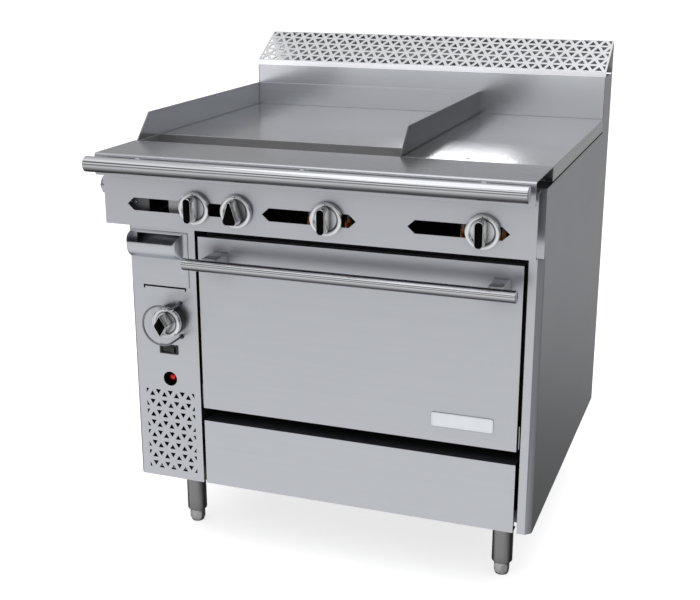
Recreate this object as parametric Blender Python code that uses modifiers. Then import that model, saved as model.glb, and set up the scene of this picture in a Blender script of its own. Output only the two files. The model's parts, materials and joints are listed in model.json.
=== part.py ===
"""Heavy-duty 36 inch commercial gas range: griddle and hot top over an oven.

Metres, +Z up. Sizes are laid out from the cabinet's centre plane (x = 0), its front
plane (y = 0, the face of the door and of the control column) and the floor (z = 0).
One empty then shifts the whole range, so that the world origin lies under the middle
of the range's bounding box.
"""

import math

import bmesh
import bpy

# ---------------------------------------------------------------- driving dimensions
WIDTH = 0.9144
DEPTH = 0.822
LEG_HEIGHT = 0.161
SEAM_Z = 0.758
UPPER_SIDE_TOP = 0.896
WORK_Z = 0.930
GRIDDLE_Z = 0.929
SPLASH_TOP = 0.985
GUARD_TOP = 1.031
TOTAL_HEIGHT = 1.110

SHEET = 0.0015
GAP = 0.0003
HALF = WIDTH / 2
INNER = HALF - SHEET

CHAMFER = 0.0125
LEFT_CHAMFER = 0.0050
GUARD_Y = 0.712
CAP_FRONT_Z = 1.044
PANEL_Y = -0.083
PANEL_BOTTOM = 0.775
PANEL_TOP = 0.905
PANEL_LEFT = -0.4612
LEDGE_Y = -0.113
LEDGE_BACK = 0.0537
LEDGE_SKIRT_Z = 0.884
BAR_Y = -0.158
BAR_Z = 0.915
BAR_RADIUS = 0.0159
BAR_HALF_LENGTH = 0.454

COLUMN_RIGHT = -0.297
DOOR_LEFT = -0.290
DOOR_RIGHT = 0.4195
DOOR_BOTTOM = 0.345
DOOR_TOP = 0.740
DOOR_DEPTH = 0.048
HINGE_Y = 0.012
HINGE_Z = 0.352
KICK_TOP = 0.315
KICK_SHELF = 0.066
KICK_HEM = 0.030
FLANGE = 0.045
POST_LEFT = 0.4275

DRAWER_X = (-0.437, -0.322)
DRAWER_Z = (0.634, 0.738)
SLOT_TOP = 0.6215

OVEN_X = (-0.265, 0.395)
OVEN_Z = (0.362, 0.705)
OVEN_FRONT = 0.052
OVEN_BACK = 0.715
RACK_LEVELS = (0.420, 0.485, 0.550, 0.615)

DIVIDER_X = 0.145
SPLASH_THICK = 0.0025
PLATE_BASE = 0.900
TROUGH_BACK = 0.159
LIFTER_HOLE = (0.2784, 0.0806)

KNOB_Z = 0.824
KNOB_X = (-0.249, -0.155, 0.040, 0.355)
KNOB_RADIUS = 0.034
KNOB_FACE_Y = -0.095
OVEN_KNOB_X = -0.3605
OVEN_KNOB_Z = 0.5463
OVEN_KNOB_FACE_Y = -0.030
GRIP_REACH = 0.028

SWITCH_X = (-0.3935, -0.3490)
SWITCH_Z = (0.4640, 0.4850)
ROCKER_TILT = math.radians(7)
PILOT_X = -0.3716
PILOT_Z = 0.4043
PILOT_RADIUS = 0.0165

MANIFOLD_Y = -0.050
MANIFOLD_Z = 0.852
MANIFOLD_LEFT = -0.481

GRILLE_PITCH = 0.0302
GRILLE_ROW = 0.0254
GRILLE_HOLE = 0.45

LEG_X = 0.376
LEG_Y = (0.1135, 0.7085)
LEG_RADIUS = 0.023

BOX_LEFT = MANIFOLD_LEFT
BOX_FRONT = BAR_Y - BAR_RADIUS
SHIFT_X = -(BOX_LEFT + HALF) / 2
SHIFT_Y = -(BOX_FRONT + DEPTH) / 2

STEEL = ("stainless_steel", (0.60, 0.61, 0.63), 0.32, 1.0)
BRIGHT = ("polished_steel", (0.78, 0.79, 0.80), 0.14, 1.0)
PLATE = ("machined_plate", (0.55, 0.55, 0.56), 0.30, 1.0)
DARK_STEEL = ("dark_steel", (0.16, 0.16, 0.18), 0.55, 1.0)
ENAMEL = ("oven_enamel", (0.05, 0.05, 0.06), 0.35, 0.0)
CAST = ("cast_iron", (0.09, 0.09, 0.09), 0.70, 1.0)
WOOL = ("mineral_wool", (0.55, 0.50, 0.36), 0.95, 0.0)
BLACK = ("black_plastic", (0.02, 0.02, 0.02), 0.40, 0.0)
RED = ("red_plastic", (0.80, 0.01, 0.01), 0.35, 0.0)
WIRE = ("zinc_plated_wire", (0.62, 0.63, 0.66), 0.25, 1.0)
BRASS = ("brass", (0.72, 0.55, 0.24), 0.35, 1.0)


# ------------------------------------------------------------------------- scene set-up
def clear_scene():
    for old in list(bpy.data.objects):
        bpy.data.objects.remove(old, do_unlink=True)


clear_scene()
PARTS = bpy.data.collections.new("commercial_gas_range")
CUTTERS = bpy.data.collections.new("cutters")
bpy.context.scene.collection.children.link(PARTS)
bpy.context.scene.collection.children.link(CUTTERS)


def new_empty(name, location, parent=None):
    """An empty at a place in the range's own layout; a child of the shifted root."""
    empty = bpy.data.objects.new(name, None)
    empty.location = location
    empty.parent = parent
    empty.empty_display_size = 0.03
    PARTS.objects.link(empty)
    return empty


ROOT = new_empty("range_origin", (SHIFT_X, SHIFT_Y, 0.0))


def pivot(name, x, y, z):
    """An empty on a joint's axis."""
    return new_empty(name, (x, y, z), ROOT)


def material(spec):
    name, color, roughness, metallic = spec
    found = bpy.data.materials.get(name)
    if found:
        return found
    made = bpy.data.materials.new(name)
    made.use_nodes = True
    made.diffuse_color = (*color, 1.0)
    shader = made.node_tree.nodes["Principled BSDF"]
    shader.inputs["Base Color"].default_value = (*color, 1.0)
    shader.inputs["Roughness"].default_value = roughness
    shader.inputs["Metallic"].default_value = metallic
    return made


def place(obj, parent):
    """Parent an object to the root or to a pivot without moving it."""
    if parent is None:
        obj.parent = ROOT
        return obj
    obj.location = obj.location - parent.location
    obj.parent = parent
    return obj


def add_mesh(name, mesh, spec, location=(0, 0, 0), rotation=(0, 0, 0), parent=None):
    obj = bpy.data.objects.new(name, mesh)
    obj.location = location
    obj.rotation_euler = rotation
    if spec is None:
        CUTTERS.objects.link(obj)
        obj.hide_render = True
        obj.display_type = "WIRE"
    else:
        PARTS.objects.link(obj)
        mesh.materials.append(material(spec))
    return place(obj, parent)


# ---------------------------------------------------------------------- shape functions
def solidify(obj, thickness, offset=-1.0):
    shell = obj.modifiers.new("sheet", "SOLIDIFY")
    shell.thickness = thickness
    shell.offset = offset
    shell.use_even_offset = True


def cut(obj, *cutters):
    for cutter in cutters:
        change = obj.modifiers.new("cut", "BOOLEAN")
        change.operation = "DIFFERENCE"
        change.solver = "EXACT"
        change.object = cutter
    return obj


def join(obj, *others):
    for other in others:
        change = obj.modifiers.new("join", "BOOLEAN")
        change.operation = "UNION"
        change.solver = "EXACT"
        change.object = other
    return obj


def smooth(obj, angle=math.radians(35)):
    obj.data.shade_smooth()
    obj.data.set_sharp_from_angle(angle=angle)
    return obj


def box(name, low, high, spec, parent=None, open_side=None, thickness=SHEET):
    """A solid block, or a tray with one side open when open_side is a direction."""
    size = [b - a for a, b in zip(low, high)]
    centre = [(a + b) / 2 for a, b in zip(low, high)]
    mesh = bpy.data.meshes.new(name)
    bm = bmesh.new()
    bmesh.ops.create_cube(bm, size=1.0)
    bmesh.ops.scale(bm, vec=size, verts=bm.verts)
    if open_side:
        axis = "xyz".index(open_side[1])
        sign = 1 if open_side[0] == "+" else -1
        gone = [f for f in bm.faces if f.normal[axis] * sign > 0.9]
        bmesh.ops.delete(bm, geom=gone, context="FACES_ONLY")
    bm.to_mesh(mesh)
    bm.free()
    obj = add_mesh(name, mesh, spec, centre, parent=parent)
    if open_side:
        solidify(obj, thickness)
    return obj


def bent_sheet(name, profile, along, start, end, spec, thickness=SHEET, side=-1.0,
               parent=None):
    """Sheet metal bent along a polyline and run along X ("x") or Z ("z").

    The profile is (y, z) points for "x" and (x, y) points for "z".
    """
    mesh = bpy.data.meshes.new(name)
    bm = bmesh.new()

    def corner(point, t):
        return (t, point[0], point[1]) if along == "x" else (point[0], point[1], t)

    line = [bm.verts.new(corner(p, start)) for p in profile]
    edges = [bm.edges.new(pair) for pair in zip(line, line[1:])]
    step = (end - start, 0, 0) if along == "x" else (0, 0, end - start)
    swept = bmesh.ops.extrude_edge_only(bm, edges=edges)["geom"]
    moved = [g for g in swept if isinstance(g, bmesh.types.BMVert)]
    bmesh.ops.translate(bm, vec=step, verts=moved)
    bm.to_mesh(mesh)
    bm.free()
    obj = add_mesh(name, mesh, spec, parent=parent)
    solidify(obj, thickness, side)
    return obj


def outline_mesh(name, rings, thickness):
    """A flat outline with holes, extruded evenly about its own plane, as a mesh."""
    curve = bpy.data.curves.new(name, "CURVE")
    curve.dimensions = "2D"
    curve.fill_mode = "BOTH"
    curve.extrude = thickness / 2
    for ring in rings:
        spline = curve.splines.new("POLY")
        spline.points.add(len(ring) - 1)
        for point, (x, y) in zip(spline.points, ring):
            point.co = (x, y, 0.0, 1.0)
        spline.use_cyclic_u = True
    return curve_to_mesh(name, curve)


def curve_to_mesh(name, curve):
    holder = bpy.data.objects.new(name + "_curve", curve)
    bpy.context.scene.collection.objects.link(holder)
    graph = bpy.context.evaluated_depsgraph_get()
    mesh = bpy.data.meshes.new_from_object(holder.evaluated_get(graph))
    bpy.data.objects.remove(holder, do_unlink=True)
    bm = bmesh.new()
    bm.from_mesh(mesh)
    bmesh.ops.remove_doubles(bm, verts=bm.verts, dist=0.00001)
    bm.to_mesh(mesh)
    bm.free()
    mesh.name = name
    return mesh


FACE_FRONT = (math.radians(90), 0, 0)
FACE_RIGHT = (math.radians(90), 0, math.radians(90))


def plate_yz(name, points, x_low, x_high, spec, parent=None):
    """A flat plate whose outline is given as (y, z) points, between two x planes."""
    mesh = outline_mesh(name, [points], x_high - x_low)
    where = ((x_low + x_high) / 2, 0, 0)
    return add_mesh(name, mesh, spec, where, FACE_RIGHT, parent)


def plate_xz(name, rings, y_low, y_high, spec, parent=None):
    """A flat plate whose outline and holes are (x, z) points, between two y planes."""
    mesh = outline_mesh(name, rings, y_high - y_low)
    return add_mesh(name, mesh, spec, (0, (y_low + y_high) / 2, 0), FACE_FRONT, parent)


def circle(cx, cy, radius, count, start=0.0, sweep=360.0):
    """Points round a circle; a part sweep includes both of its ends."""
    steps = count if sweep == 360.0 else count - 1
    angles = [math.radians(start + sweep * i / steps) for i in range(count)]
    return [(cx + radius * math.cos(a), cy + radius * math.sin(a)) for a in angles]


def rod_mesh(name, points, radius, resolution=4):
    """A tube along a run of points, with closed ends."""
    curve = bpy.data.curves.new(name, "CURVE")
    curve.dimensions = "3D"
    curve.bevel_depth = radius
    curve.bevel_resolution = resolution
    curve.use_fill_caps = True
    spline = curve.splines.new("POLY")
    spline.points.add(len(points) - 1)
    for point, place_at in zip(spline.points, points):
        point.co = (*place_at, 1.0)
    return curve_to_mesh(name, curve)


def rod(name, points, radius, spec, resolution=4, parent=None):
    return smooth(add_mesh(name, rod_mesh(name, points, radius, resolution), spec,
                           parent=parent))


def turned(name, profile, segments, spec, location, rotation=(0, 0, 0), parent=None):
    """A turned piece: (radius, height) points down the outer side, turned about Z."""
    mesh = bpy.data.meshes.new(name)
    bm = bmesh.new()
    line = [bm.verts.new((radius, 0, height)) for radius, height in profile]
    for pair in zip(line, line[1:]):
        bm.edges.new(pair)
    bm.to_mesh(mesh)
    bm.free()
    obj = add_mesh(name, mesh, spec, location, rotation, parent)
    screw = obj.modifiers.new("turn", "SCREW")
    screw.steps = segments
    screw.render_steps = segments
    screw.use_merge_vertices = True
    screw.merge_threshold = 0.00001
    screw.use_smooth_shade = True
    return obj


# --------------------------------------------------------------------- cabinet and base
def lower_side_panels():
    """Side sheets with a chamfered front corner and a turned-in front post."""
    top = SEAM_Z - GAP
    right = [(HALF, DEPTH), (HALF, CHAMFER), (HALF - CHAMFER, 0.0), (POST_LEFT, 0.0),
             (POST_LEFT, FLANGE)]
    bent_sheet("side_panel_right", right, "z", LEG_HEIGHT, top, STEEL, side=-1.0)
    inner = -HALF + LEFT_CHAMFER
    left = [(-HALF, DEPTH), (-HALF, LEFT_CHAMFER), (inner, 0.0), (inner, 0.040)]
    bent_sheet("side_panel_left", left, "z", LEG_HEIGHT, top, STEEL, side=1.0)


def upper_side_panels():
    """The side sheets above the seam, which run up at the back beside the backguard."""
    front = -0.001
    flange = 0.030
    outline = [(front, SEAM_Z), (DEPTH, SEAM_Z), (DEPTH, GUARD_TOP), (GUARD_Y, GUARD_TOP),
               (GUARD_Y, UPPER_SIDE_TOP), (front, UPPER_SIDE_TOP)]
    for side, sign in (("left", -1), ("right", 1)):
        low = min(sign * INNER, sign * HALF)
        panel = plate_yz("upper_side_" + side, outline, low, low + SHEET, STEEL)
        edge = sorted((sign * (HALF - flange), sign * (HALF - SHEET / 2)))
        lip = box("upper_side_flange_" + side, (edge[0], front, SEAM_Z),
                  (edge[1], front + SHEET, UPPER_SIDE_TOP), None)
        join(panel, lip)


def rear_panel():
    box("rear_panel", (-INNER + GAP, DEPTH - SHEET, 0.165), (INNER - GAP, DEPTH, 1.028),
        STEEL)


def base_pan():
    """Shallow tray that ties the sides together and carries the legs."""
    box("base_pan", (-INNER + GAP, 0.048, LEG_HEIGHT + GAP),
        (INNER - GAP, DEPTH - 2 * SHEET, 0.190), DARK_STEEL, open_side="+z",
        thickness=0.002)


def kick_panel():
    """Panel under the door, with a deep shelf that closes the gap above it."""
    profile = [(KICK_SHELF, KICK_TOP), (0.0, KICK_TOP), (0.0, LEG_HEIGHT),
               (KICK_HEM, LEG_HEIGHT)]
    bent_sheet("kick_panel", profile, "x", DOOR_LEFT, DOOR_RIGHT, STEEL, side=1.0)


def control_column_panel():
    """Front sheet of the left column, with every opening that its controls need."""
    left = -HALF + LEFT_CHAMFER + GAP
    profile = [(left, 0.0), (COLUMN_RIGHT, 0.0), (COLUMN_RIGHT, FLANGE)]
    panel = bent_sheet("control_column_panel", profile, "z", LEG_HEIGHT, SEAM_Z - GAP,
                       STEEL, side=1.0)
    floor_lip = box("column_floor_lip", (left + SHEET, SHEET / 2, LEG_HEIGHT + GAP),
                    (COLUMN_RIGHT - SHEET / 2, FLANGE, LEG_HEIGHT + GAP + SHEET), None)
    join(panel, floor_lip)
    deep = (-0.01, 0.01)
    drawer = box("drawer_opening", (DRAWER_X[0], deep[0], DRAWER_Z[0]),
                 (DRAWER_X[1], deep[1], DRAWER_Z[1]), None)
    slot = column_slot(deep)
    neck = cylinder_y("thermostat_opening", OVEN_KNOB_X, OVEN_KNOB_Z, 0.0140, *deep)
    switch = box("switch_opening", (SWITCH_X[0] + 0.002, deep[0], SWITCH_Z[0] + 0.002),
                 (SWITCH_X[1] - 0.002, deep[1], SWITCH_Z[1] - 0.002), None)
    pilot = cylinder_y("pilot_opening", PILOT_X, PILOT_Z, PILOT_RADIUS + GAP, *deep)
    cut(panel, drawer, slot, neck, switch, pilot, grille_cutter(deep))


def column_slot(deep):
    """The narrow slot under the drawer, whose two ends turn down."""
    x_low, x_high, z_top = -0.427, -0.322, SLOT_TOP
    slot, turn, width = 0.0040, 0.0085, 0.0035
    outline = [(x_low, z_top), (x_high, z_top), (x_high, z_top - turn),
               (x_high - width, z_top - turn), (x_high - width, z_top - slot),
               (x_low + width, z_top - slot), (x_low + width, z_top - turn),
               (x_low, z_top - turn)]
    return plate_xz("column_slot", [outline], deep[0], deep[1], None)


def cylinder_y(name, x, z, radius, y_low, y_high, count=24, spec=None, parent=None):
    """A round bar along Y."""
    ring = circle(x, z, radius, count)
    return plate_xz(name, [ring], y_low, y_high, spec, parent)


def grille_cutter(deep):
    """Rows of up and down triangles, each row half a pitch from the next."""
    mesh = bpy.data.meshes.new("grille_cutter")
    bm = bmesh.new()
    x_first, z_first = -0.4338, 0.1762
    rows, columns = 8, 4
    for row in range(rows):
        base = z_first + row * GRILLE_ROW
        for step in range(2 * columns + 1):
            up = (step + row) % 2 == 0
            x = x_first + step * GRILLE_PITCH / 2
            z = base + GRILLE_ROW * (1 / 3 if up else 2 / 3)
            add_triangle(bm, x, z, up, deep, clip_low=step == 0, clip_high=step == 2 * columns)
    bmesh.ops.recalc_face_normals(bm, faces=bm.faces)
    bm.to_mesh(mesh)
    bm.free()
    return add_mesh("grille_cutter", mesh, None)


def add_triangle(bm, x, z, up, deep, clip_low, clip_high):
    """One triangular prism; at a side edge of the field only its inner half is kept."""
    tall = GRILLE_ROW * GRILLE_HOLE * (1 if up else -1)
    half = GRILLE_PITCH * GRILLE_HOLE / 2
    left = x if clip_low else x - half
    right = x if clip_high else x + half
    base, tip = z - tall / 3, z + tall * 2 / 3
    corners = [(left, base), (right, base), (x, tip)]
    front = [bm.verts.new((cx, deep[0], cz)) for cx, cz in corners]
    face = bm.faces.new(front)
    swept = bmesh.ops.extrude_face_region(bm, geom=[face])["geom"]
    moved = [g for g in swept if isinstance(g, bmesh.types.BMVert)]
    bmesh.ops.translate(bm, vec=(0, deep[1] - deep[0], 0), verts=moved)


# ------------------------------------------------------------------ control box and top
def control_panel():
    """Raised front panel with three pointed slots behind the knobs."""
    back = PANEL_Y + 0.018
    profile = [(back, PANEL_BOTTOM), (PANEL_Y, PANEL_BOTTOM), (PANEL_Y, PANEL_TOP),
               (back, PANEL_TOP)]
    panel = bent_sheet("control_panel", profile, "x", PANEL_LEFT, HALF, STEEL, side=-1.0)
    deep = (PANEL_Y - 0.01, PANEL_Y + 0.01)
    slots = ((-0.4065, -0.128), (-0.1005, 0.0997), (0.2050, 0.4060))
    for number, (low, high) in enumerate(slots, 1):
        cut(panel, plate_xz("panel_slot_%d" % number, [slot_outline(low, high)], *deep, None))


def slot_outline(x_low, x_high):
    middle, half, point = 0.8215, 0.0134, 0.0150
    return [(x_low, middle), (x_low + point, middle - half), (x_high - point, middle - half),
            (x_high, middle), (x_high - point, middle + half), (x_low + point, middle + half)]


def front_ledge():
    """Work ledge with a rounded nose and a skirt, open at both ends."""
    radius, lip = 0.006, 0.012
    nose = circle(LEDGE_Y + radius, WORK_Z - radius, radius, 5, 90, 90)
    profile = [(LEDGE_BACK, 0.905), (LEDGE_BACK, WORK_Z), *nose,
               (LEDGE_Y, LEDGE_SKIRT_Z), (LEDGE_Y + lip, LEDGE_SKIRT_Z)]
    smooth(bent_sheet("front_ledge", profile, "x", PANEL_LEFT, HALF, STEEL, side=1.0))


def belly_bar():
    """Round guard bar in front of the ledge, on three welded studs."""
    ends = [(-BAR_HALF_LENGTH, BAR_Y, BAR_Z), (BAR_HALF_LENGTH, BAR_Y, BAR_Z)]
    bar = rod("belly_bar", ends, BAR_RADIUS, BRIGHT, resolution=6)
    stud_places, stud_radius = (-0.36, 0.0, 0.36), 0.008
    for number, x in enumerate(stud_places, 1):
        stud = cylinder_y("belly_bar_stud_%d" % number, x, BAR_Z, stud_radius, BAR_Y,
                          LEDGE_Y - GAP, count=12)
        join(bar, stud)


def top_frame():
    """Welded ring of bars that carries the griddle and the hot top."""
    low, high, bar = 0.860, PLATE_BASE - 0.0005, 0.028
    x_low, x_high = -INNER + GAP, INNER - GAP
    y_low, y_high = 0.0640, GUARD_Y - 0.004
    ring = [(x_low, y_low), (x_high, y_low), (x_high, y_high), (x_low, y_high)]
    middle = DIVIDER_X + SPLASH_THICK / 2
    trough_bar = TROUGH_BACK + GAP + bar
    left = [(x_low + bar, trough_bar), (x_low + bar, y_high - bar),
            (middle - bar / 2, y_high - bar), (middle - bar / 2, trough_bar)]
    right = [(middle + bar / 2, y_low + bar), (middle + bar / 2, y_high - bar),
             (x_high - bar, y_high - bar), (x_high - bar, y_low + bar)]
    mesh = outline_mesh("top_frame", [ring, left, right], high - low)
    frame = add_mesh("top_frame", mesh, DARK_STEEL, (0, 0, (low + high) / 2))
    trough_room = box("trough_room", (x_low - 0.01, 0.05, low - 0.01),
                      (DIVIDER_X, TROUGH_BACK + GAP, high + 0.01), None)
    cut(frame, trough_room)


def splash_outline():
    slope = 0.055
    front = LEDGE_BACK + 0.0008
    return [(front, PLATE_BASE), (GUARD_Y - GAP, PLATE_BASE), (GUARD_Y - GAP, SPLASH_TOP),
            (front + slope, SPLASH_TOP), (front, WORK_Z + 0.0005)]


def splashes():
    """Steel walls on the left, the back and the right of the griddle."""
    plate_yz("left_splash", splash_outline(), -HALF, -HALF + SPLASH_THICK, STEEL)
    plate_yz("divider_splash", splash_outline(), DIVIDER_X, DIVIDER_X + SPLASH_THICK, STEEL)
    box("back_splash", (-HALF + SPLASH_THICK + GAP, GUARD_Y - GAP - SPLASH_THICK, PLATE_BASE),
        (DIVIDER_X - GAP, GUARD_Y - GAP, SPLASH_TOP), STEEL)


def griddle_plate():
    """Thick polished plate on two welded side rails."""
    low = (-HALF + SPLASH_THICK + GAP, TROUGH_BACK + GAP, PLATE_BASE)
    high = (DIVIDER_X - GAP, GUARD_Y - SPLASH_THICK - 2 * GAP, GRIDDLE_Z)
    plate = box("griddle_plate", low, high, PLATE)
    rail = 0.012
    hollow = box("griddle_underside", (low[0] + rail, low[1] + rail, low[2] - 0.01),
                 (high[0] - rail, high[1] - rail, low[2] + 0.010), None)
    cut(plate, hollow)


def grease_trough():
    """Open gutter along the griddle's front edge, with a drain into the drawer."""
    low = (-HALF + SPLASH_THICK + GAP, LEDGE_BACK + 0.0008, 0.886)
    high = (DIVIDER_X - GAP, TROUGH_BACK, GRIDDLE_Z)
    trough = box("grease_trough", low, high, STEEL)
    wall = 0.002
    room = box("trough_hollow", (low[0] + wall, low[1] + wall, low[2] + wall),
               (high[0] - wall, high[1] - wall, high[2] + 0.01), None)
    x, y, floor, radius = -0.385, 0.108, 0.745, 0.024
    top = low[2] + wall / 2
    pipe = outline_mesh("trough_spout", [circle(0, 0, radius, 16)], top - floor)
    spout = add_mesh("trough_spout", pipe, None, (x, y, (top + floor) / 2))
    hole = outline_mesh("trough_bore", [circle(0, 0, radius - wall, 16)], 0.2)
    bore = add_mesh("trough_bore", hole, None, (x, y, 0.83))
    cut(join(trough, spout), room, bore)


def hot_top_plate():
    """Lift-off cast plate, hollow underneath, with a lifter hole near its front."""
    low = (DIVIDER_X + SPLASH_THICK + 0.0005, LEDGE_BACK + 0.0008, PLATE_BASE)
    high = (HALF, GUARD_Y - 0.001, WORK_Z)
    axis = pivot("hot_top_lift_axis", (low[0] + high[0]) / 2, (low[1] + high[1]) / 2, WORK_Z)
    plate = box("hot_top_plate", low, high, PLATE, parent=axis)
    wall = 0.010
    hollow = box("hot_top_underside", (low[0] + wall, low[1] + wall, low[2] - 0.01),
                 (high[0] - wall, high[1] - wall, high[2] - 0.013), None, parent=axis)
    round_hole = outline_mesh("lifter_hole", [circle(0, 0, 0.006, 16)], 0.1)
    hole = add_mesh("lifter_hole", round_hole, None, (*LIFTER_HOLE, WORK_Z), parent=axis)
    cut(plate, hollow, hole)


def backguard():
    """Front sheet of the flue riser, between the two upper side sheets."""
    profile = [(GUARD_Y, SEAM_Z + 0.002), (GUARD_Y, GUARD_TOP - GAP),
               (GUARD_Y + 0.020, GUARD_TOP - GAP)]
    bent_sheet("backguard", profile, "x", -INNER + GAP, INNER - GAP, STEEL, side=-1.0)


def flue_cap():
    """Sloping cap with a front lip and a back flange, open at both ends."""
    profile = [(GUARD_Y, GUARD_TOP + GAP), (GUARD_Y, CAP_FRONT_Z), (DEPTH, TOTAL_HEIGHT),
               (DEPTH, GUARD_TOP + GAP)]
    bent_sheet("flue_cap", profile, "x", -HALF, HALF, BRIGHT, side=-1.0)


# ---------------------------------------------------------------------------------- oven
def oven_liner():
    """Enamelled box with a face frame round its mouth."""
    x_low, x_high = OVEN_X
    z_low, z_high = OVEN_Z
    body = box("oven_liner", (x_low - SHEET, OVEN_FRONT, z_low - SHEET),
               (x_high + SHEET, OVEN_BACK + SHEET, z_high + SHEET), ENAMEL)
    border = 0.0295
    frame = box("oven_face_frame", (x_low - border, OVEN_FRONT, 0.330),
                (x_high + border, OVEN_FRONT + SHEET, SEAM_Z - SHEET), None)
    room = box("oven_room", (x_low, OVEN_FRONT - 0.01, z_low),
               (x_high, OVEN_BACK, z_high), None)
    join(cut(join(body, frame), room), rack_ledges())


def rack_ledges():
    """Ledges welded to the oven's side walls, at each height a rack can take."""
    mesh = bpy.data.meshes.new("rack_ledges")
    bm = bmesh.new()
    reach, thick, root = 0.014, 0.003, 0.0005
    y_low, y_high = OVEN_FRONT + 0.020, OVEN_BACK - 0.010
    size = (reach + root, y_high - y_low, thick)
    for x in (OVEN_X[0] + (reach - root) / 2, OVEN_X[1] - (reach - root) / 2):
        for level in RACK_LEVELS:
            ledge = bmesh.ops.create_cube(bm, size=1.0)["verts"]
            bmesh.ops.scale(bm, vec=size, verts=ledge)
            centre = (x, (y_low + y_high) / 2, level - thick / 2)
            bmesh.ops.translate(bm, vec=centre, verts=ledge)
    bm.to_mesh(mesh)
    bm.free()
    return add_mesh("rack_ledges", mesh, None)


def oven_insulation():
    """Mineral wool round the liner's top, sides, floor and back."""
    x_low, x_high = OVEN_X
    z_low, z_high = OVEN_Z
    wrap = 0.024
    front = OVEN_FRONT + SHEET + GAP
    skin = SHEET + GAP
    wool = box("oven_insulation", (x_low - skin - wrap, front, z_low - skin - wrap),
               (x_high + skin + wrap, OVEN_BACK + skin + wrap, z_high + skin + wrap), WOOL)
    room = box("insulation_room", (x_low - skin, front - 0.01, z_low - skin),
               (x_high + skin, OVEN_BACK + skin, z_high + skin), None)
    cut(wool, room)


def oven_floor():
    """Lift-out floor plate over the burner."""
    box("oven_floor", (OVEN_X[0] + 0.002, OVEN_FRONT + 0.004, OVEN_Z[0] + GAP),
        (OVEN_X[1] - 0.002, OVEN_BACK - 0.004, OVEN_Z[0] + 0.0033), DARK_STEEL)


def oven_rack():
    """Flat grid rack that slides on the ledges."""
    front, back, bars = 0.100, 0.690, 16
    edge, wire, thick = 0.008, 0.006, 0.006
    x_low, x_high = OVEN_X[0] + 0.0020, OVEN_X[1] - 0.0020
    pitch = (x_high - x_low - 2 * edge + wire) / bars
    middle = (front + back) / 2
    rings = [[(x_low, front), (x_high, front), (x_high, back), (x_low, back)]]
    for number in range(bars):
        low = x_low + edge + number * pitch
        high = low + pitch - wire
        for y_low, y_high in ((front + edge, middle - wire / 2),
                              (middle + wire / 2, back - edge)):
            rings.append([(low, y_low), (low, y_high), (high, y_high), (high, y_low)])
    z = RACK_LEVELS[1] + GAP + thick / 2
    axis = pivot("oven_rack_slide", (x_low + x_high) / 2, front, z)
    add_mesh("oven_rack", outline_mesh("oven_rack", rings, thick), WIRE, (0, 0, z),
             parent=axis)


def oven_burner():
    rod("oven_burner", [(0.065, 0.110, 0.270), (0.065, 0.640, 0.270)], 0.020, CAST)


# ---------------------------------------------------------------------------------- door
def door():
    """Outer skin, inner liner, handle, badge and hinge arms on one bottom axis."""
    axis = pivot("door_hinge_axis", 0.065, HINGE_Y, HINGE_Z)
    liner_front = 0.0205
    box("door_skin", (DOOR_LEFT, 0.0, DOOR_BOTTOM), (DOOR_RIGHT, 0.020, DOOR_TOP), STEEL,
        axis, open_side="+y")
    box("door_liner", (DOOR_LEFT + 0.010, liner_front, DOOR_BOTTOM + 0.010),
        (DOOR_RIGHT - 0.010, DOOR_DEPTH, DOOR_TOP - 0.010), ENAMEL, axis, open_side="-y",
        thickness=0.0015)
    door_handle(axis)
    thick = 0.0012
    badge = outline_mesh("badge", [rounded_rectangle(0.132, 0.031, 0.005)], thick)
    add_mesh("badge", badge, BRIGHT, (0.3038, -thick / 2 - GAP, 0.395), FACE_FRONT, axis)
    hinge_arms(axis)


def rounded_rectangle(width, height, radius):
    x, y = width / 2 - radius, height / 2 - radius
    points = []
    for cx, cy, start in ((x, y, 0), (-x, y, 90), (-x, -y, 180), (x, -y, 270)):
        points += circle(cx, cy, radius, 4, start, 90)
    return points


def door_handle(axis):
    """Round bar across the door, screwed to the saddles of two cast stand-offs."""
    y, z, radius = -0.065, 0.6955, 0.0127
    saddle = y + 0.007
    rod("door_handle", [(-0.292, y, z), (0.420, y, z)], radius, BRIGHT, 6, axis)
    for side, x in (("left", -0.237), ("right", 0.377)):
        outline = [(-GAP, z + 0.0160), (-0.010, z + 0.0127), (saddle, z + 0.0127),
                   (saddle, z - 0.0127), (-0.012, z - 0.0127), (-GAP, z - 0.0165)]
        bracket = plate_yz("handle_bracket_" + side, outline, x - 0.018, x + 0.018, BRIGHT,
                           axis)
        bore = plate_yz("handle_bore_" + side, circle(y, z, radius + GAP, 28), x - 0.03,
                        x + 0.03, None, axis)
        cut(bracket, bore)


def hinge_arms(axis):
    """Flat arm in each side gap, with the pivot boss at its lower end."""
    boss = circle(HINGE_Y, HINGE_Z, 0.0065, 9, 180, 180)
    outline = [*boss, (HINGE_Y + 0.0065, 0.385), (HINGE_Y - 0.0065, 0.400)]
    for side, low in (("left", -0.2945), ("right", 0.4215)):
        plate_yz("door_hinge_" + side, outline, low, low + 0.003, WIRE, axis)


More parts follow.
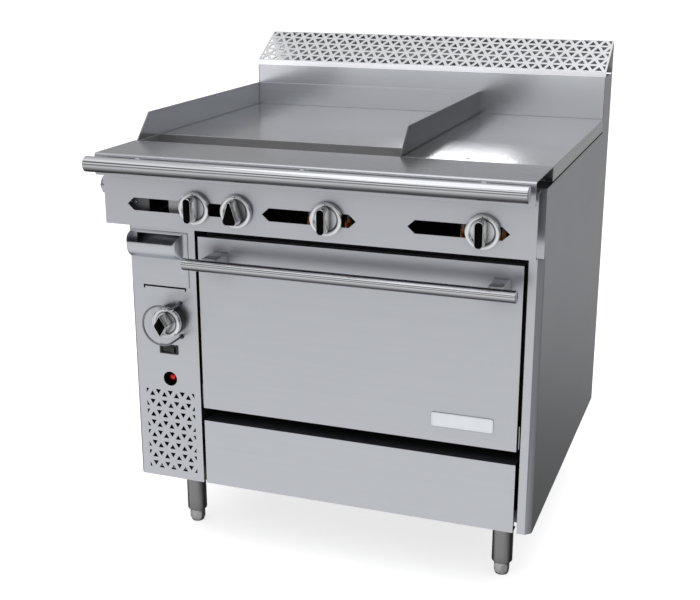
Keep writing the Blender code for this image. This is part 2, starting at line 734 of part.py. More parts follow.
# -------------------------------------------------------------------------- grease drawer
def grease_drawer():
    """Drip drawer: overlay front with a scooped pull, welded to the pan behind it."""
    x_low, x_high = -HALF + LEFT_CHAMFER, -0.3137
    z_low, z_high = 0.622, 0.745
    scoop_right, wall = -0.325, 0.0015
    axis = pivot("grease_drawer_slide", (x_low + x_high) / 2, 0.0, z_low)
    front = box("grease_drawer", (x_low, -0.0018, z_low), (x_high, -GAP, z_high), STEEL, axis)
    scoop = [(-0.001, 0.6850), (-0.0100, 0.6880), (-0.0190, 0.6950), (-0.0235, 0.7050),
             (-0.0235, 0.7210), (-0.001, 0.7410)]
    shell = plate_yz("scoop_shell", scoop, x_low, scoop_right, None, axis)
    pan_left = DRAWER_X[0] + 0.003
    pan = box("drawer_pan", (pan_left, -0.001, 0.637), (scoop_right, 0.480, 0.730), None,
              axis)
    pocket = [(0.0, 0.6880), (-0.0095, 0.6900), (-0.0178, 0.6965), (-0.0220, 0.7060),
              (-0.0220, 0.750), (0.0, 0.750)]
    hollow = plate_yz("scoop_pocket", pocket, x_low + wall, scoop_right - wall, None, axis)
    recess_back = 0.0202
    recess = box("pull_recess", (pan_left + wall, -0.010, 0.6900),
                 (scoop_right - wall, recess_back, 0.737), None, axis)
    room = box("drawer_room", (pan_left + wall, recess_back + wall, 0.6385),
               (scoop_right - wall, 0.4785, 0.80), None, axis)
    cut(join(front, shell, pan), hollow, recess, room)


# --------------------------------------------------------------------- knobs and controls
def knob(name, x, face_y, z, grip, stem_end):
    """Ring-faced knob: turned skirt, raised grip and stem, on the axis of its valve."""
    axis = pivot(name + "_axis", x, face_y, z)
    rim, dish = KNOB_RADIUS - 0.0065, 0.0025
    profile = [(0.0, -dish), (rim - 0.002, -dish), (rim, -0.0006), (rim + 0.0015, 0.0),
               (KNOB_RADIUS - 0.0020, 0.0), (KNOB_RADIUS, -0.0020), (KNOB_RADIUS, -0.0110),
               (0.0, -0.0110)]
    body = turned(name, profile, 36, BRIGHT, (x, face_y, z), FACE_FRONT, axis)
    tall = GRIP_REACH + dish + 0.002
    bar = add_mesh(name + "_grip", outline_mesh(name + "_grip", [grip], tall), None,
                   (x, face_y - GRIP_REACH + tall / 2, z), FACE_FRONT, axis)
    stem = cylinder_y(name + "_stem", x, z, 0.004, face_y + 0.009, stem_end, 12, None, axis)
    join(body, bar, stem)


def bar_grip():
    """Upright bar with round ends, as wide as a thumb grip."""
    half_width, reach = 0.0080, 0.0180
    return circle(0, reach, half_width, 7, 0, 180) + circle(0, -reach, half_width, 7, 180, 180)


def pointer_grip():
    """Drop shape, narrow above and broad below, with well-rounded lower corners."""
    tip = circle(0, 0.0210, 0.0040, 5, 10, 160)
    return (tip + circle(-0.0065, -0.0145, 0.0085, 5, 170, 90)
            + circle(0.0065, -0.0145, 0.0085, 5, 280, 90))


def diamond_grip():
    """Lozenge with small flats on its side corners."""
    tall, wide, flat = 0.0240, 0.0148, 0.0020
    return [(0, tall), (-wide, flat), (-wide, -flat), (0, -tall), (wide, -flat), (wide, flat)]


def top_controls():
    """Four knobs, each with its valve under the manifold."""
    names = ("knob_griddle_left", "knob_griddle_pilot", "knob_griddle_right", "knob_hot_top")
    grips = (bar_grip, pointer_grip, bar_grip, bar_grip)
    valve_front, valve_back = -0.0725, -0.028
    for name, x, grip in zip(names, KNOB_X, grips):
        knob(name, x, KNOB_FACE_Y, KNOB_Z, grip(), valve_front - GAP)
        valve = cylinder_y(name.replace("knob", "valve"), x, KNOB_Z - 0.004, 0.0125,
                           valve_front, valve_back, 16, BRASS)
        outlet = rod_mesh(name + "_outlet", [(x, -0.040, KNOB_Z - 0.006), (x, -0.040, 0.790)],
                          0.006, 2)
        join(valve, add_mesh(name + "_outlet", outlet, None))


def manifold_pipe():
    """Front gas manifold with a cap where it leaves the cabinet on the left."""
    ends = [(MANIFOLD_LEFT + 0.022, MANIFOLD_Y, MANIFOLD_Z), (0.440, MANIFOLD_Y, MANIFOLD_Z)]
    pipe = rod("manifold_pipe", ends, 0.0150, DARK_STEEL)
    mesh = rod_mesh("manifold_cap", [(MANIFOLD_LEFT, MANIFOLD_Y, MANIFOLD_Z),
                                     (MANIFOLD_LEFT + 0.030, MANIFOLD_Y, MANIFOLD_Z)], 0.0195)
    join(pipe, add_mesh("manifold_cap", mesh, None))


def burners():
    """Twin-tube burner under the griddle and a single tube under the hot top."""
    z, front, back, radius = 0.835, 0.180, 0.650, 0.017
    twin = rod("griddle_burner", [(-0.305, front, z), (-0.305, back, z)], radius, CAST)
    other = rod_mesh("griddle_burner_right", [(-0.005, front, z), (-0.005, back, z)], radius)
    bridge = rod_mesh("griddle_burner_bridge", [(-0.305, 0.4, z), (-0.005, 0.4, z)], 0.010)
    join(twin, add_mesh("griddle_burner_right", other, None),
         add_mesh("griddle_burner_bridge", bridge, None))
    rod("hot_top_burner", [(0.305, 0.100, 0.835), (0.305, back, 0.835)], 0.022, CAST)


def oven_controls():
    """Thermostat with its bezel, its knob and the wire guard round the knob."""
    x, z = OVEN_KNOB_X, OVEN_KNOB_Z
    body = box("oven_thermostat", (x - 0.030, 0.004, z - 0.028), (x + 0.030, 0.060, z + 0.028),
               BLACK)
    neck = cylinder_y("thermostat_neck", x, z, 0.0130, -0.004, 0.008)
    bezel = cylinder_y("thermostat_bezel", x, z, 0.0345, -0.0170, -GAP, 32)
    bore = cylinder_y("thermostat_bore", x, z, 0.0046, -0.05, 0.02, 12)
    cut(join(body, neck, bezel), bore)
    knob("knob_oven", x, OVEN_KNOB_FACE_Y, z, diamond_grip(), 0.010)
    knob_guard()


def knob_guard():
    """Bent wire that stands off the column and loops round the oven knob."""
    out, radius, leg_x = -0.050, 0.0447, -0.338
    reach = math.degrees(math.acos((leg_x - OVEN_KNOB_X) / radius))
    loop = circle(OVEN_KNOB_X, OVEN_KNOB_Z, radius, 22, reach, 360 - 2 * reach)
    top_z, bottom_z = loop[0][1], loop[-1][1]
    points = [(leg_x, -GAP, top_z), (leg_x, out + 0.006, top_z)]
    points += [(x, out, z) for x, z in loop]
    points += [(leg_x, out + 0.006, bottom_z), (leg_x, -GAP, bottom_z)]
    rod("knob_guard", points, 0.0023, WIRE, resolution=2)


def rocker_switch():
    """Snap-in housing and a rocker that tilts about an upright pin."""
    x_mid, z_mid = sum(SWITCH_X) / 2, sum(SWITCH_Z) / 2
    housing = box("switch_housing", (SWITCH_X[0], -0.0025, SWITCH_Z[0]),
                  (SWITCH_X[1], -GAP, SWITCH_Z[1]), BLACK)
    neck = box("switch_neck", (SWITCH_X[0] + 0.0025, -0.001, SWITCH_Z[0] + 0.0025),
               (SWITCH_X[1] - 0.0025, 0.026, SWITCH_Z[1] - 0.0025), None)
    well = box("switch_well", (SWITCH_X[0] + 0.0045, -0.01, SWITCH_Z[0] + 0.0035),
               (SWITCH_X[1] - 0.0045, 0.020, SWITCH_Z[1] - 0.0035), None)
    cut(join(housing, neck), well)
    pin_y, half, nose = 0.004, 0.0155, 0.0040
    outline = [(-half, -0.0065), (0.0, -0.0045), (half, -0.0065), (half, -0.0010),
               (nose, 0.0070), (-nose, 0.0070), (-half, -0.0010)]
    axis = pivot("rocker_axis", x_mid, pin_y, z_mid)
    mesh = outline_mesh("switch_rocker", [outline], SWITCH_Z[1] - SWITCH_Z[0] - 0.0080)
    add_mesh("switch_rocker", mesh, BLACK, (x_mid, pin_y, z_mid), (0, 0, -ROCKER_TILT), axis)


def pilot_controls():
    """Black cup with a sprung red button in it."""
    cup = cylinder_y("pilot_cup", PILOT_X, PILOT_Z, PILOT_RADIUS, -0.0006, 0.040, 24, BLACK)
    room = cylinder_y("pilot_room", PILOT_X, PILOT_Z, PILOT_RADIUS - 0.0012, -0.01, 0.034)
    hole = cylinder_y("pilot_hole", PILOT_X, PILOT_Z, 0.0036, 0.02, 0.05, 12)
    cut(cup, room, hole)
    face_y, radius = 0.010, 0.0070
    axis = pivot("pilot_button_axis", PILOT_X, face_y, PILOT_Z)
    button = cylinder_y("pilot_button", PILOT_X, PILOT_Z, radius, face_y, 0.022, 20, RED,
                        axis)
    stem = cylinder_y("pilot_button_stem", PILOT_X, PILOT_Z, 0.0030, 0.015, 0.048, 12, None,
                      axis)
    join(button, stem)


# ---------------------------------------------------------------------------------- legs
def legs():
    """Four tube legs, each with a threaded foot that screws in and out."""
    segments, bore = 20, 0.0120
    leg_profile = [(0.0, LEG_HEIGHT), (LEG_RADIUS, LEG_HEIGHT), (LEG_RADIUS, 0.042),
                   (0.0185, 0.030), (bore, 0.030), (bore, LEG_HEIGHT - 0.012),
                   (0.0, LEG_HEIGHT - 0.012)]
    foot_profile = [(0.0, 0.090), (bore - 0.0005, 0.090), (bore - 0.0005, 0.0295),
                    (0.0160, 0.0295), (0.0180, 0.0240), (0.0180, 0.0080), (0.0145, 0.0),
                    (0.0, 0.0)]
    for side, x in (("left", -LEG_X), ("right", LEG_X)):
        for end, y in zip(("front", "rear"), LEG_Y):
            name = "%s_%s" % (end, side)
            turned("leg_" + name, leg_profile, segments, BRIGHT, (x, y, 0))
            axis = pivot("foot_axis_" + name, x, y, 0.0)
            turned("foot_" + name, foot_profile, segments, BRIGHT, (x, y, 0), parent=axis)


lower_side_panels()
upper_side_panels()
rear_panel()
base_pan()
kick_panel()
control_column_panel()
control_panel()
front_ledge()
belly_bar()
top_frame()
splashes()
griddle_plate()
grease_trough()
hot_top_plate()
backguard()
flue_cap()
oven_liner()
oven_insulation()
oven_floor()
oven_rack()
oven_burner()
door()
grease_drawer()
top_controls()
manifold_pipe()
burners()
oven_controls()
rocker_switch()
pilot_controls()
legs()
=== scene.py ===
"""Looks of the commercial gas range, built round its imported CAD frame.

Metres, +Z up, the range's front towards -Y. Places and sizes come from the frame's own
nodes. The constants are what the frame doesn't hold: the finish's own measures, such as edge
radii, a few small fittings, the camera and the lights.
"""

import json
import math

import bmesh
import bpy
from mathutils import Matrix, Vector

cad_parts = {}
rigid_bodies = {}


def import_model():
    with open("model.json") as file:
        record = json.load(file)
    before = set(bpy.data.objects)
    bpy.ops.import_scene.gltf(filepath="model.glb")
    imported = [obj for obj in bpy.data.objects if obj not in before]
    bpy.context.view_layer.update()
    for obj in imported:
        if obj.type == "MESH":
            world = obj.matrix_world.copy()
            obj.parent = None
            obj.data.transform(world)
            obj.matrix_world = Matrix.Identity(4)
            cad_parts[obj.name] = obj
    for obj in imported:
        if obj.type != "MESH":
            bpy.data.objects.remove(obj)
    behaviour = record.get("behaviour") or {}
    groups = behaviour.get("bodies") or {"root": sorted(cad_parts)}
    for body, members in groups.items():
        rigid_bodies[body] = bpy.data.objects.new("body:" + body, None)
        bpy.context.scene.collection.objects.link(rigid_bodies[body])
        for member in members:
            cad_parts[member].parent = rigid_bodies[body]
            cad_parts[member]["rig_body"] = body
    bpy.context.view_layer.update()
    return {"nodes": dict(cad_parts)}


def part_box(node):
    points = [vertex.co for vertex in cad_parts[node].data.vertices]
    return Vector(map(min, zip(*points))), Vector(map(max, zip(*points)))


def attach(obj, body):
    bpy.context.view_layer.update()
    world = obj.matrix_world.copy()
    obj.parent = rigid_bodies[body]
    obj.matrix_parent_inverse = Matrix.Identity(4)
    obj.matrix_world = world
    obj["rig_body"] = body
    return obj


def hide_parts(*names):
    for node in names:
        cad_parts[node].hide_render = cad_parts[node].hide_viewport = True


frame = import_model()

NODES = frame["nodes"]
FACE_FRONT = Matrix.Rotation(math.radians(90), 4, "X")
SHEET_EDGE = 0.0005
PLATE_EDGE = 0.0010
MERGE = 0.00001

# The Mix node's two colour inputs and its colour output.
MIX_FIRST = 6
MIX_SECOND = 7
MIX_RESULT = 2

# The camera stands in front of the range, to its right and a little above its top.
CAMERA_PLACE = (0.8643, -2.5308, 1.3509)
CAMERA_TILT = math.radians(73.0)
CAMERA_TURN = math.radians(19.8)
CAMERA_LENS = 60.78
SENSOR_WIDTH = 36.0


# ---- measuring
def size_of(node):
    """A node's lowest corner, highest corner and middle."""
    low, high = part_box(node)
    return low, high, (low + high) / 2


def middle_of(node):
    return size_of(node)[2]


def body_of(node):
    """The CAD body that a node belongs to."""
    return NODES[node]["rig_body"]


# ---- materials
class Look:
    """A Principled material and short ways to wire procedural detail into it."""

    def __init__(self, name, color, metallic):
        self.material = bpy.data.materials.new(name)
        self.material.use_nodes = True
        self.material.diffuse_color = (*color, 1.0)
        self.tree = self.material.node_tree
        self.shader = self.tree.nodes["Principled BSDF"]
        self.shader.inputs["Metallic"].default_value = metallic
        self.coordinates = self.add("ShaderNodeTexCoord")
        self.place = self.coordinates.outputs["Object"]

    def add(self, kind, values=None):
        """A new node, with a value for each input that is named."""
        node = self.tree.nodes.new(kind)
        for name, value in (values or {}).items():
            node.inputs[name].default_value = value
        return node

    def link(self, source, target):
        self.tree.links.new(source, target)

    def noise(self, stretch, detail, seed=0.0):
        """Noise whose three scales are features per metre along X, Y and Z."""
        shift = (seed, seed * 0.37, seed * 1.71)
        mapping = self.add("ShaderNodeMapping", {"Scale": stretch, "Location": shift})
        self.link(self.place, mapping.inputs["Vector"])
        noise = self.add("ShaderNodeTexNoise", {"Scale": 1.0, "Detail": detail})
        self.link(mapping.outputs["Vector"], noise.inputs["Vector"])
        return noise.outputs["Fac"]

    def even_noise(self, scale, detail, seed=0.0):
        return self.noise((scale, scale, scale), detail, seed)

    def spread(self, value, low, high, source=(0.25, 0.75)):
        """Map a value's source range onto low to high."""
        node = self.add("ShaderNodeMapRange", {"From Min": source[0], "From Max": source[1],
                                               "To Min": low, "To Max": high})
        self.link(value, node.inputs["Value"])
        return node.outputs["Result"]

    def math(self, operation, first, second):
        node = self.add("ShaderNodeMath")
        node.operation = operation
        for socket, value in zip(node.inputs, (first, second)):
            if isinstance(value, (int, float)):
                socket.default_value = value
            else:
                self.link(value, socket)
        return node.outputs["Value"]

    def mix(self, factor, first, second):
        """A colour between two colours, or between a colour socket and a colour."""
        node = self.add("ShaderNodeMix")
        node.data_type = "RGBA"
        for socket, value in ((MIX_FIRST, first), (MIX_SECOND, second)):
            if isinstance(value, tuple):
                node.inputs[socket].default_value = (*value, 1.0)
            else:
                self.link(value, node.inputs[socket])
        self.link(factor, node.inputs["Factor"])
        return node.outputs[MIX_RESULT]

    def edge_mask(self, radius=0.0012):
        """One along outer edges and corners, and nought on flat faces."""
        bevel = self.add("ShaderNodeBevel", {"Radius": radius})
        bevel.samples = 4
        true_normal = self.add("ShaderNodeNewGeometry")
        dot = self.add("ShaderNodeVectorMath")
        dot.operation = "DOT_PRODUCT"
        self.link(bevel.outputs["Normal"], dot.inputs[0])
        self.link(true_normal.outputs["Normal"], dot.inputs[1])
        return self.spread(dot.outputs["Value"], 1.0, 0.0, (0.80, 0.985))

    def shelter(self, color, reach, depth):
        """Darken a colour where nearby surfaces shut out the studio's light."""
        shut = self.add("ShaderNodeAmbientOcclusion", {"Distance": reach})
        shut.samples = 8
        return self.scale(color, self.spread(shut.outputs["AO"], 1.0 - depth, 1.0, (0.30, 1.0)))

    def shade_underside(self, color, depth):
        """Painted shade: darken a colour where the surface faces down."""
        facing = self.add("ShaderNodeSeparateXYZ")
        self.link(self.coordinates.outputs["Normal"], facing.inputs["Vector"])
        level = self.spread(facing.outputs["Z"], 1.0 - depth, 1.0, (-0.55, 0.10))
        return self.scale(color, level)

    def scale(self, color, level):
        """Multiply a colour by a level."""
        node = self.add("ShaderNodeVectorMath")
        node.operation = "SCALE"
        self.link(color, node.inputs[0])
        self.link(level, node.inputs["Scale"])
        return node.outputs["Vector"]

    def bump(self, height, strength, distance):
        node = self.add("ShaderNodeBump", {"Strength": strength, "Distance": distance})
        self.link(height, node.inputs["Height"])
        self.link(node.outputs["Normal"], self.shader.inputs["Normal"])

    def finish(self, color, roughness):
        """Wire up the colour and the roughness, and hand over the material."""
        self.link(color, self.shader.inputs["Base Color"])
        self.link(roughness, self.shader.inputs["Roughness"])
        return self.material


def grey(level):
    return (level, level, level, 1.0)


def shade(color, factor):
    """A colour made darker or lighter by a factor."""
    return tuple(min(1.0, channel * factor) for channel in color)


# Features per metre along X, Y and Z, for a grain that runs along each axis.
GRAIN = {"x": (3.0, 900.0, 900.0), "y": (900.0, 3.0, 900.0), "z": (900.0, 900.0, 3.0)}
STREAK = {"x": (0.9, 70.0, 70.0), "y": (70.0, 0.9, 70.0), "z": (70.0, 70.0, 0.9)}
SCRATCH_DEPTH = 0.0001
# Rubbed edges of brushed steel, pushed towards near-white steel: wear, painted lighter as thin
# highlights.
EDGE_HIGHLIGHT_STEEL = (0.94, 0.95, 0.97)
EDGE_WEAR_AND_HIGHLIGHT = 0.45


def brushed(name, color, roughness, grain, depth=0.10, seed=0.0, shade_reach=0.06,
            shade_depth=0.62, underside_shade=0.0):
    """Sheet or bar with a brushed grain, faint long streaks, smudges and rubbed edges painted
    lighter as thin highlights, with painted shade near other surfaces and, if asked, on its
    underside.
    """
    look = Look(name, color, 1.0)
    fine = look.noise(GRAIN[grain], 2.0, seed)
    streak = look.noise(STREAK[grain], 3.0, seed + 5.0)
    cloud = look.even_noise(4.0, 4.0, seed + 9.0)
    tone = look.math("ADD", look.spread(fine, -0.5, 0.5), look.spread(streak, -0.5, 0.5))
    tone = look.math("ADD", tone, look.spread(cloud, -0.4, 0.4))
    blend = look.spread(tone, 0.0, 1.0, (-1.4, 1.4))
    tint = look.mix(blend, shade(color, 0.96), shade(color, 1.04))
    # Rubbed edges, painted lighter as thin highlights.
    edge = look.edge_mask()
    base_tint = look.mix(look.math("MULTIPLY", edge, EDGE_WEAR_AND_HIGHLIGHT), tint, EDGE_HIGHLIGHT_STEEL)
    # Painted shade where nearby surfaces shut out the light, and painted shade on the underside
    # if asked.
    base_tint = look.shelter(base_tint, shade_reach, shade_depth)
    if underside_shade:
        base_tint = look.shade_underside(base_tint, underside_shade)
    rough = look.math("ADD", look.spread(cloud, roughness - 0.02, roughness + 0.02),
                      look.spread(fine, -0.025, 0.025))
    rough = look.math("SUBTRACT", rough, look.math("MULTIPLY", edge, 0.08))
    look.bump(fine, depth, SCRATCH_DEPTH)
    return look.finish(base_tint, rough)


def turned_metal(name, color, roughness, seed=0.0):
    """Cast and polished metal with fine scratches in no one direction, lighter edges and painted
    shade where nearby surfaces close in.
    """
    look = Look(name, color, 1.0)
    fine = look.even_noise(700.0, 3.0, seed)
    cloud = look.even_noise(45.0, 3.0, seed + 3.0)
    tint = look.mix(look.spread(cloud, 0.0, 1.0), shade(color, 0.96), shade(color, 1.03))
    edge = look.edge_mask(0.0006)
    base_tint = look.mix(look.math("MULTIPLY", edge, 0.35), tint, shade(color, 1.25))
    # Painted shade where nearby surfaces close in.
    base_tint = look.shelter(base_tint, 0.016, 0.80)
    rough = look.math("ADD", look.spread(cloud, roughness - 0.02, roughness + 0.02),
                      look.spread(fine, -0.02, 0.02))
    look.bump(fine, 0.05, SCRATCH_DEPTH)
    return look.finish(base_tint, rough)


def moulded(name, color, roughness, texture=0.10, rub=0.05, specular=0.5):
    """Moulded plastic with a fine spark texture and slightly rubbed edges."""
    look = Look(name, color, 0.0)
    look.shader.inputs["Specular IOR Level"].default_value = specular
    spark = look.even_noise(1400.0, 2.0)
    cloud = look.even_noise(60.0, 3.0, 4.0)
    tint = look.mix(look.spread(cloud, 0.0, 1.0), shade(color, 0.85), shade(color, 1.15))
    edge = look.edge_mask(0.0005)
    pale = tuple(channel + rub for channel in color)
    base_tint = look.mix(look.math("MULTIPLY", edge, 0.5), tint, pale)
    rough = look.math("ADD", look.spread(cloud, roughness - 0.05, roughness + 0.05),
                      look.spread(spark, -0.04, 0.04))
    look.bump(spark, texture, SCRATCH_DEPTH)
    return look.finish(base_tint, rough)


def enamelled(name, color, roughness):
    """Porcelain enamel: glossy, faintly wavy, with pale specks."""
    look = Look(name, color, 0.0)
    speck = look.even_noise(1500.0, 1.0)
    wave = look.even_noise(30.0, 2.0, 2.0)
    dots = look.spread(speck, 0.0, 1.0, (0.70, 0.78))
    pale = tuple(channel + 0.30 for channel in color)
    tint = look.mix(look.math("MULTIPLY", dots, 0.6), color, pale)
    rough = look.spread(wave, roughness - 0.06, roughness + 0.08)
    look.bump(wave, 0.15, 0.001)
    return look.finish(tint, rough)


def rough_cast(name, color, roughness):
    """Sand-cast iron, pitted and unevenly oxidised."""
    look = Look(name, color, 0.6)
    grit = look.even_noise(420.0, 5.0)
    stain = look.even_noise(22.0, 4.0, 3.0)
    rust = (color[0] * 1.9, color[1] * 1.25, color[2] * 0.9)
    tint = look.mix(look.spread(stain, 0.0, 0.7, (0.45, 0.75)), color, rust)
    rough = look.spread(grit, roughness - 0.15, roughness + 0.15)
    look.bump(grit, 0.5, 0.0008)
    return look.finish(tint, rough)


def woolly(name, color):
    """Mineral wool: matted fibres, with deep painted shade where nearby surfaces close in."""
    look = Look(name, color, 0.0)
    fibre = look.noise((60.0, 500.0, 500.0), 6.0)
    clump = look.even_noise(35.0, 4.0, 7.0)
    tint = look.mix(look.spread(clump, 0.0, 1.0), shade(color, 0.7), shade(color, 1.2))
    tint = look.shelter(tint, 0.35, 0.97)
    rough = look.spread(fibre, 0.88, 1.0)
    look.bump(fibre, 0.8, 0.003)
    return look.finish(tint, rough)


FRONT_STEEL = (0.60, 0.618, 0.660)
PLATE_STEEL = (0.575, 0.585, 0.605)

LOOKS = {
    "front": brushed("stainless_brushed_across", FRONT_STEEL, 0.36, "x", seed=1.0),
    "upright": brushed("stainless_brushed_upright", FRONT_STEEL, 0.36, "z", seed=2.0,
                       shade_depth=0.92),
    "side": brushed("stainless_side_sheet", FRONT_STEEL, 0.34, "y", seed=3.0),
    "panel": brushed("stainless_panel", FRONT_STEEL, 0.34, "x", 0.06, seed=13.0,
                     shade_depth=0.20),
    "splash": brushed("stainless_splash", (0.55, 0.56, 0.58), 0.24, "y", 0.04, seed=4.0,
                      shade_depth=0.20),
    # Divider: the splash's steel painted near black, as painted shade.
    "divider": brushed("stainless_divider", (0.065, 0.066, 0.07), 0.24, "y", 0.04, seed=14.0,
                       shade_reach=0.010, shade_depth=0.80),
    "gutter": brushed("stainless_gutter", (0.48, 0.48, 0.49), 0.45, "x", 0.04, seed=15.0,
                      shade_depth=0.10),
    "guard": brushed("stainless_backguard", (0.88, 0.90, 0.95), 0.22, "x", 0.03, seed=5.0,
                     shade_depth=0.06),
    # Cap: steel painted lighter than the front's, as painted light on its lip and slope.
    "cap": brushed("stainless_cap", (0.89, 0.90, 0.93), 0.34, "x", 0.05, seed=6.0,
                   shade_depth=0.95),
    # Bar: painted shade near the ledge and on its lower half.
    "bar": brushed("stainless_bar", (0.65, 0.665, 0.69), 0.08, "x", 0.02, seed=7.0,
                   shade_depth=0.50, underside_shade=0.85),
    # Legs: steel painted dark, as painted shade.
    "leg": brushed("stainless_leg", (0.25, 0.245, 0.25), 0.17, "z", 0.05, seed=8.0),
    "ledge": brushed("stainless_ledge", (0.55, 0.565, 0.595), 0.24, "x", 0.05, seed=11.0,
                     shade_depth=0.25),
    "bracket": brushed("cast_bracket", (0.92, 0.935, 0.97), 0.46, "y", seed=12.0,
                       shade_depth=0.20),
    "griddle": brushed("ground_griddle", PLATE_STEEL, 0.18, "y", 0.04, seed=9.0,
                       shade_reach=0.010, shade_depth=0.80),
    "hot_top": brushed("ground_hot_top", PLATE_STEEL, 0.17, "y", 0.03, seed=10.0,
                       shade_reach=0.010, shade_depth=0.80),
    "knob": turned_metal("satin_chrome", (0.80, 0.81, 0.83), 0.17),
    # Knob guard wire: plating painted dark, as painted shade.
    "guard_wire": turned_metal("bright_wire", (0.27, 0.275, 0.30), 0.16, 5.0),
    "foot": brushed("stainless_foot", (0.55, 0.55, 0.56), 0.20, "z", 0.05, seed=16.0),
    "wire": turned_metal("zinc_plating", (0.50, 0.51, 0.55), 0.20, 4.0),
    "mill": turned_metal("mill_steel", (0.16, 0.16, 0.18), 0.50, 6.0),
    "brass": turned_metal("machined_brass", (0.50, 0.19, 0.06), 0.32, 8.0),
    "enamel": enamelled("oven_enamel", (0.045, 0.047, 0.055), 0.30),
    "iron": rough_cast("cast_iron", (0.085, 0.080, 0.075), 0.70),
    "wool": woolly("mineral_wool", (0.55, 0.50, 0.36)),
    "black": moulded("black_moulding", (0.012, 0.012, 0.013), 0.42),
    "inlay": moulded("black_inlay", (0.002, 0.002, 0.002), 0.45, 0.04, 0.002, 0.02),
    "red": moulded("red_button", (0.85, 0.004, 0.004), 0.28, 0.03),
    "badge": turned_metal("badge_plate", (0.90, 0.93, 0.98), 0.34, 10.0),
}


def dress(node, look):
    """Give a CAD node a finished material."""
    data = NODES[node].data
    data.materials.clear()
    data.materials.append(LOOKS[look])


def soften(node, width, segments=2):
    """Weld a CAD node's seams and round its edges, leaving its own mesh as it is."""
    obj = NODES[node]
    weld = obj.modifiers.new("weld", "WELD")
    weld.merge_threshold = MERGE
    bevel_edges(obj, width, segments, 25.0)


def bevel_edges(obj, width, segments, angle):
    """Round the edges that turn by more than an angle, with a modifier."""
    bevel = obj.modifiers.new("edges", "BEVEL")
    bevel.width = width
    bevel.segments = segments
    bevel.limit_method = "ANGLE"
    bevel.angle_limit = math.radians(angle)
    bevel.harden_normals = True


# ---- mesh functions
def object_from(name, bm):
    """Turn a bmesh into an object of the scene."""
    mesh = bpy.data.meshes.new(name)
    bm.to_mesh(mesh)
    bm.free()
    obj = bpy.data.objects.new(name, mesh)
    bpy.context.scene.collection.objects.link(obj)
    return obj


def piece(name, bm, look, node, angle=35.0, place=None):
    """Make a shown piece from a bmesh, on the body that a CAD node belongs to."""
    if place is not None:
        bm.transform(place)
    bmesh.ops.remove_doubles(bm, verts=bm.verts, dist=MERGE)
    bmesh.ops.recalc_face_normals(bm, faces=bm.faces)
    obj = object_from(name, bm)
    obj.data.shade_smooth()
    obj.data.set_sharp_from_angle(angle=math.radians(angle))
    obj.data.materials.append(LOOKS[look])
    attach(obj, body_of(node))
    return obj


def stand_in(name, bm, look, node, angle=35.0, place=None):
    """Make a piece that is shown in place of a CAD node."""
    obj = piece(name, bm, look, node, angle, place)
    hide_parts(node)
    return obj


def loft(rings, bm=None):
    """Join rings of equal point counts in order, with both ends capped."""
    bm = bm or bmesh.new()
    rows = [[bm.verts.new(point) for point in ring] for ring in rings]
    for near, far in zip(rows, rows[1:]):
        for index in range(len(near)):
            after = (index + 1) % len(near)
            bm.faces.new((near[index], near[after], far[after], far[index]))
    bm.faces.new(list(reversed(rows[0])))
    bm.faces.new(rows[-1])
    return bm


def along_x(profile, low, high):
    """A prism from one X to another whose cross-section is a run of (y, z) points."""
    return loft([[(x, y, z) for y, z in profile] for x in (low, high)])


def lathe(profile, segments=64):
    """Turn (radius, height) points about Z; an end on the axis closes to a point."""
    bm = bmesh.new()
    line = [bm.verts.new((radius, 0.0, height)) for radius, height in profile]
    edges = [bm.edges.new(pair) for pair in zip(line, line[1:])]
    bmesh.ops.spin(bm, geom=line + edges, cent=(0, 0, 0), axis=(0, 0, 1), steps=segments,
                   angle=math.tau, use_merge=True)
    bmesh.ops.remove_doubles(bm, verts=bm.verts, dist=MERGE)
    return bm


def arc(cx, cy, radius, start, sweep, count):
    """Points along an arc, both ends included; angles in degrees."""
    angles = [math.radians(start + sweep * i / (count - 1)) for i in range(count)]
    return [(cx + radius * math.cos(a), cy + radius * math.sin(a)) for a in angles]


def inset(outline, distance):
    """A closed outline, run anticlockwise, moved inwards by a distance."""
    moved = []
    for index, (x, y) in enumerate(outline):
        before, after = outline[index - 1], outline[(index + 1) % len(outline)]
        first = Vector((x - before[0], y - before[1])).normalized()
        second = Vector((after[0] - x, after[1] - y)).normalized()
        normal = Vector((-first.y - second.y, first.x + second.x)).normalized()
        across = max(0.35, normal.dot(Vector((-first.y, first.x))))
        moved.append((x + normal.x * distance / across, y + normal.y * distance / across))
    return moved


def raised(outline, steps):
    """A prism whose steps are (inset, height) pairs from its base to its top."""
    return loft([[(x, y, height) for x, y in inset(outline, depth)] for depth, height in steps])


def tube(points, radius, sides):
    """A round tube along a run of points, with closed ends."""
    points = [Vector(point) for point in points]
    ends = [points[0]] + points + [points[-1]]
    turn = [math.tau * i / sides for i in range(sides)]
    rings = []
    normal = None
    for index, point in enumerate(points):
        along = (ends[index + 2] - ends[index]).normalized()
        if normal is None:
            normal = along.orthogonal().normalized()
        normal = (normal - along * normal.dot(along)).normalized()
        side = along.cross(normal)
        rings.append([point + (normal * math.cos(a) + side * math.sin(a)) * radius
                      for a in turn])
    return loft(rings)


def rounded_bar(x_low, x_high, y, z, radius, end):
    """A straight bar along X whose ends are rounded by a small radius."""
    rings = []
    ends = arc(0.0, 0.0, end, 180, -90, 4)
    stations = [(x_low + end + dx, radius - end + dr) for dx, dr in ends]
    stations += [(x_high - end - dx, radius - end + dr) for dx, dr in reversed(ends)]
    for x, reach in stations:
        rings.append([(x, y + reach * math.cos(math.tau * i / BAR_SIDES),
                       z + reach * math.sin(math.tau * i / BAR_SIDES))
                      for i in range(BAR_SIDES)])
    return loft(rings)


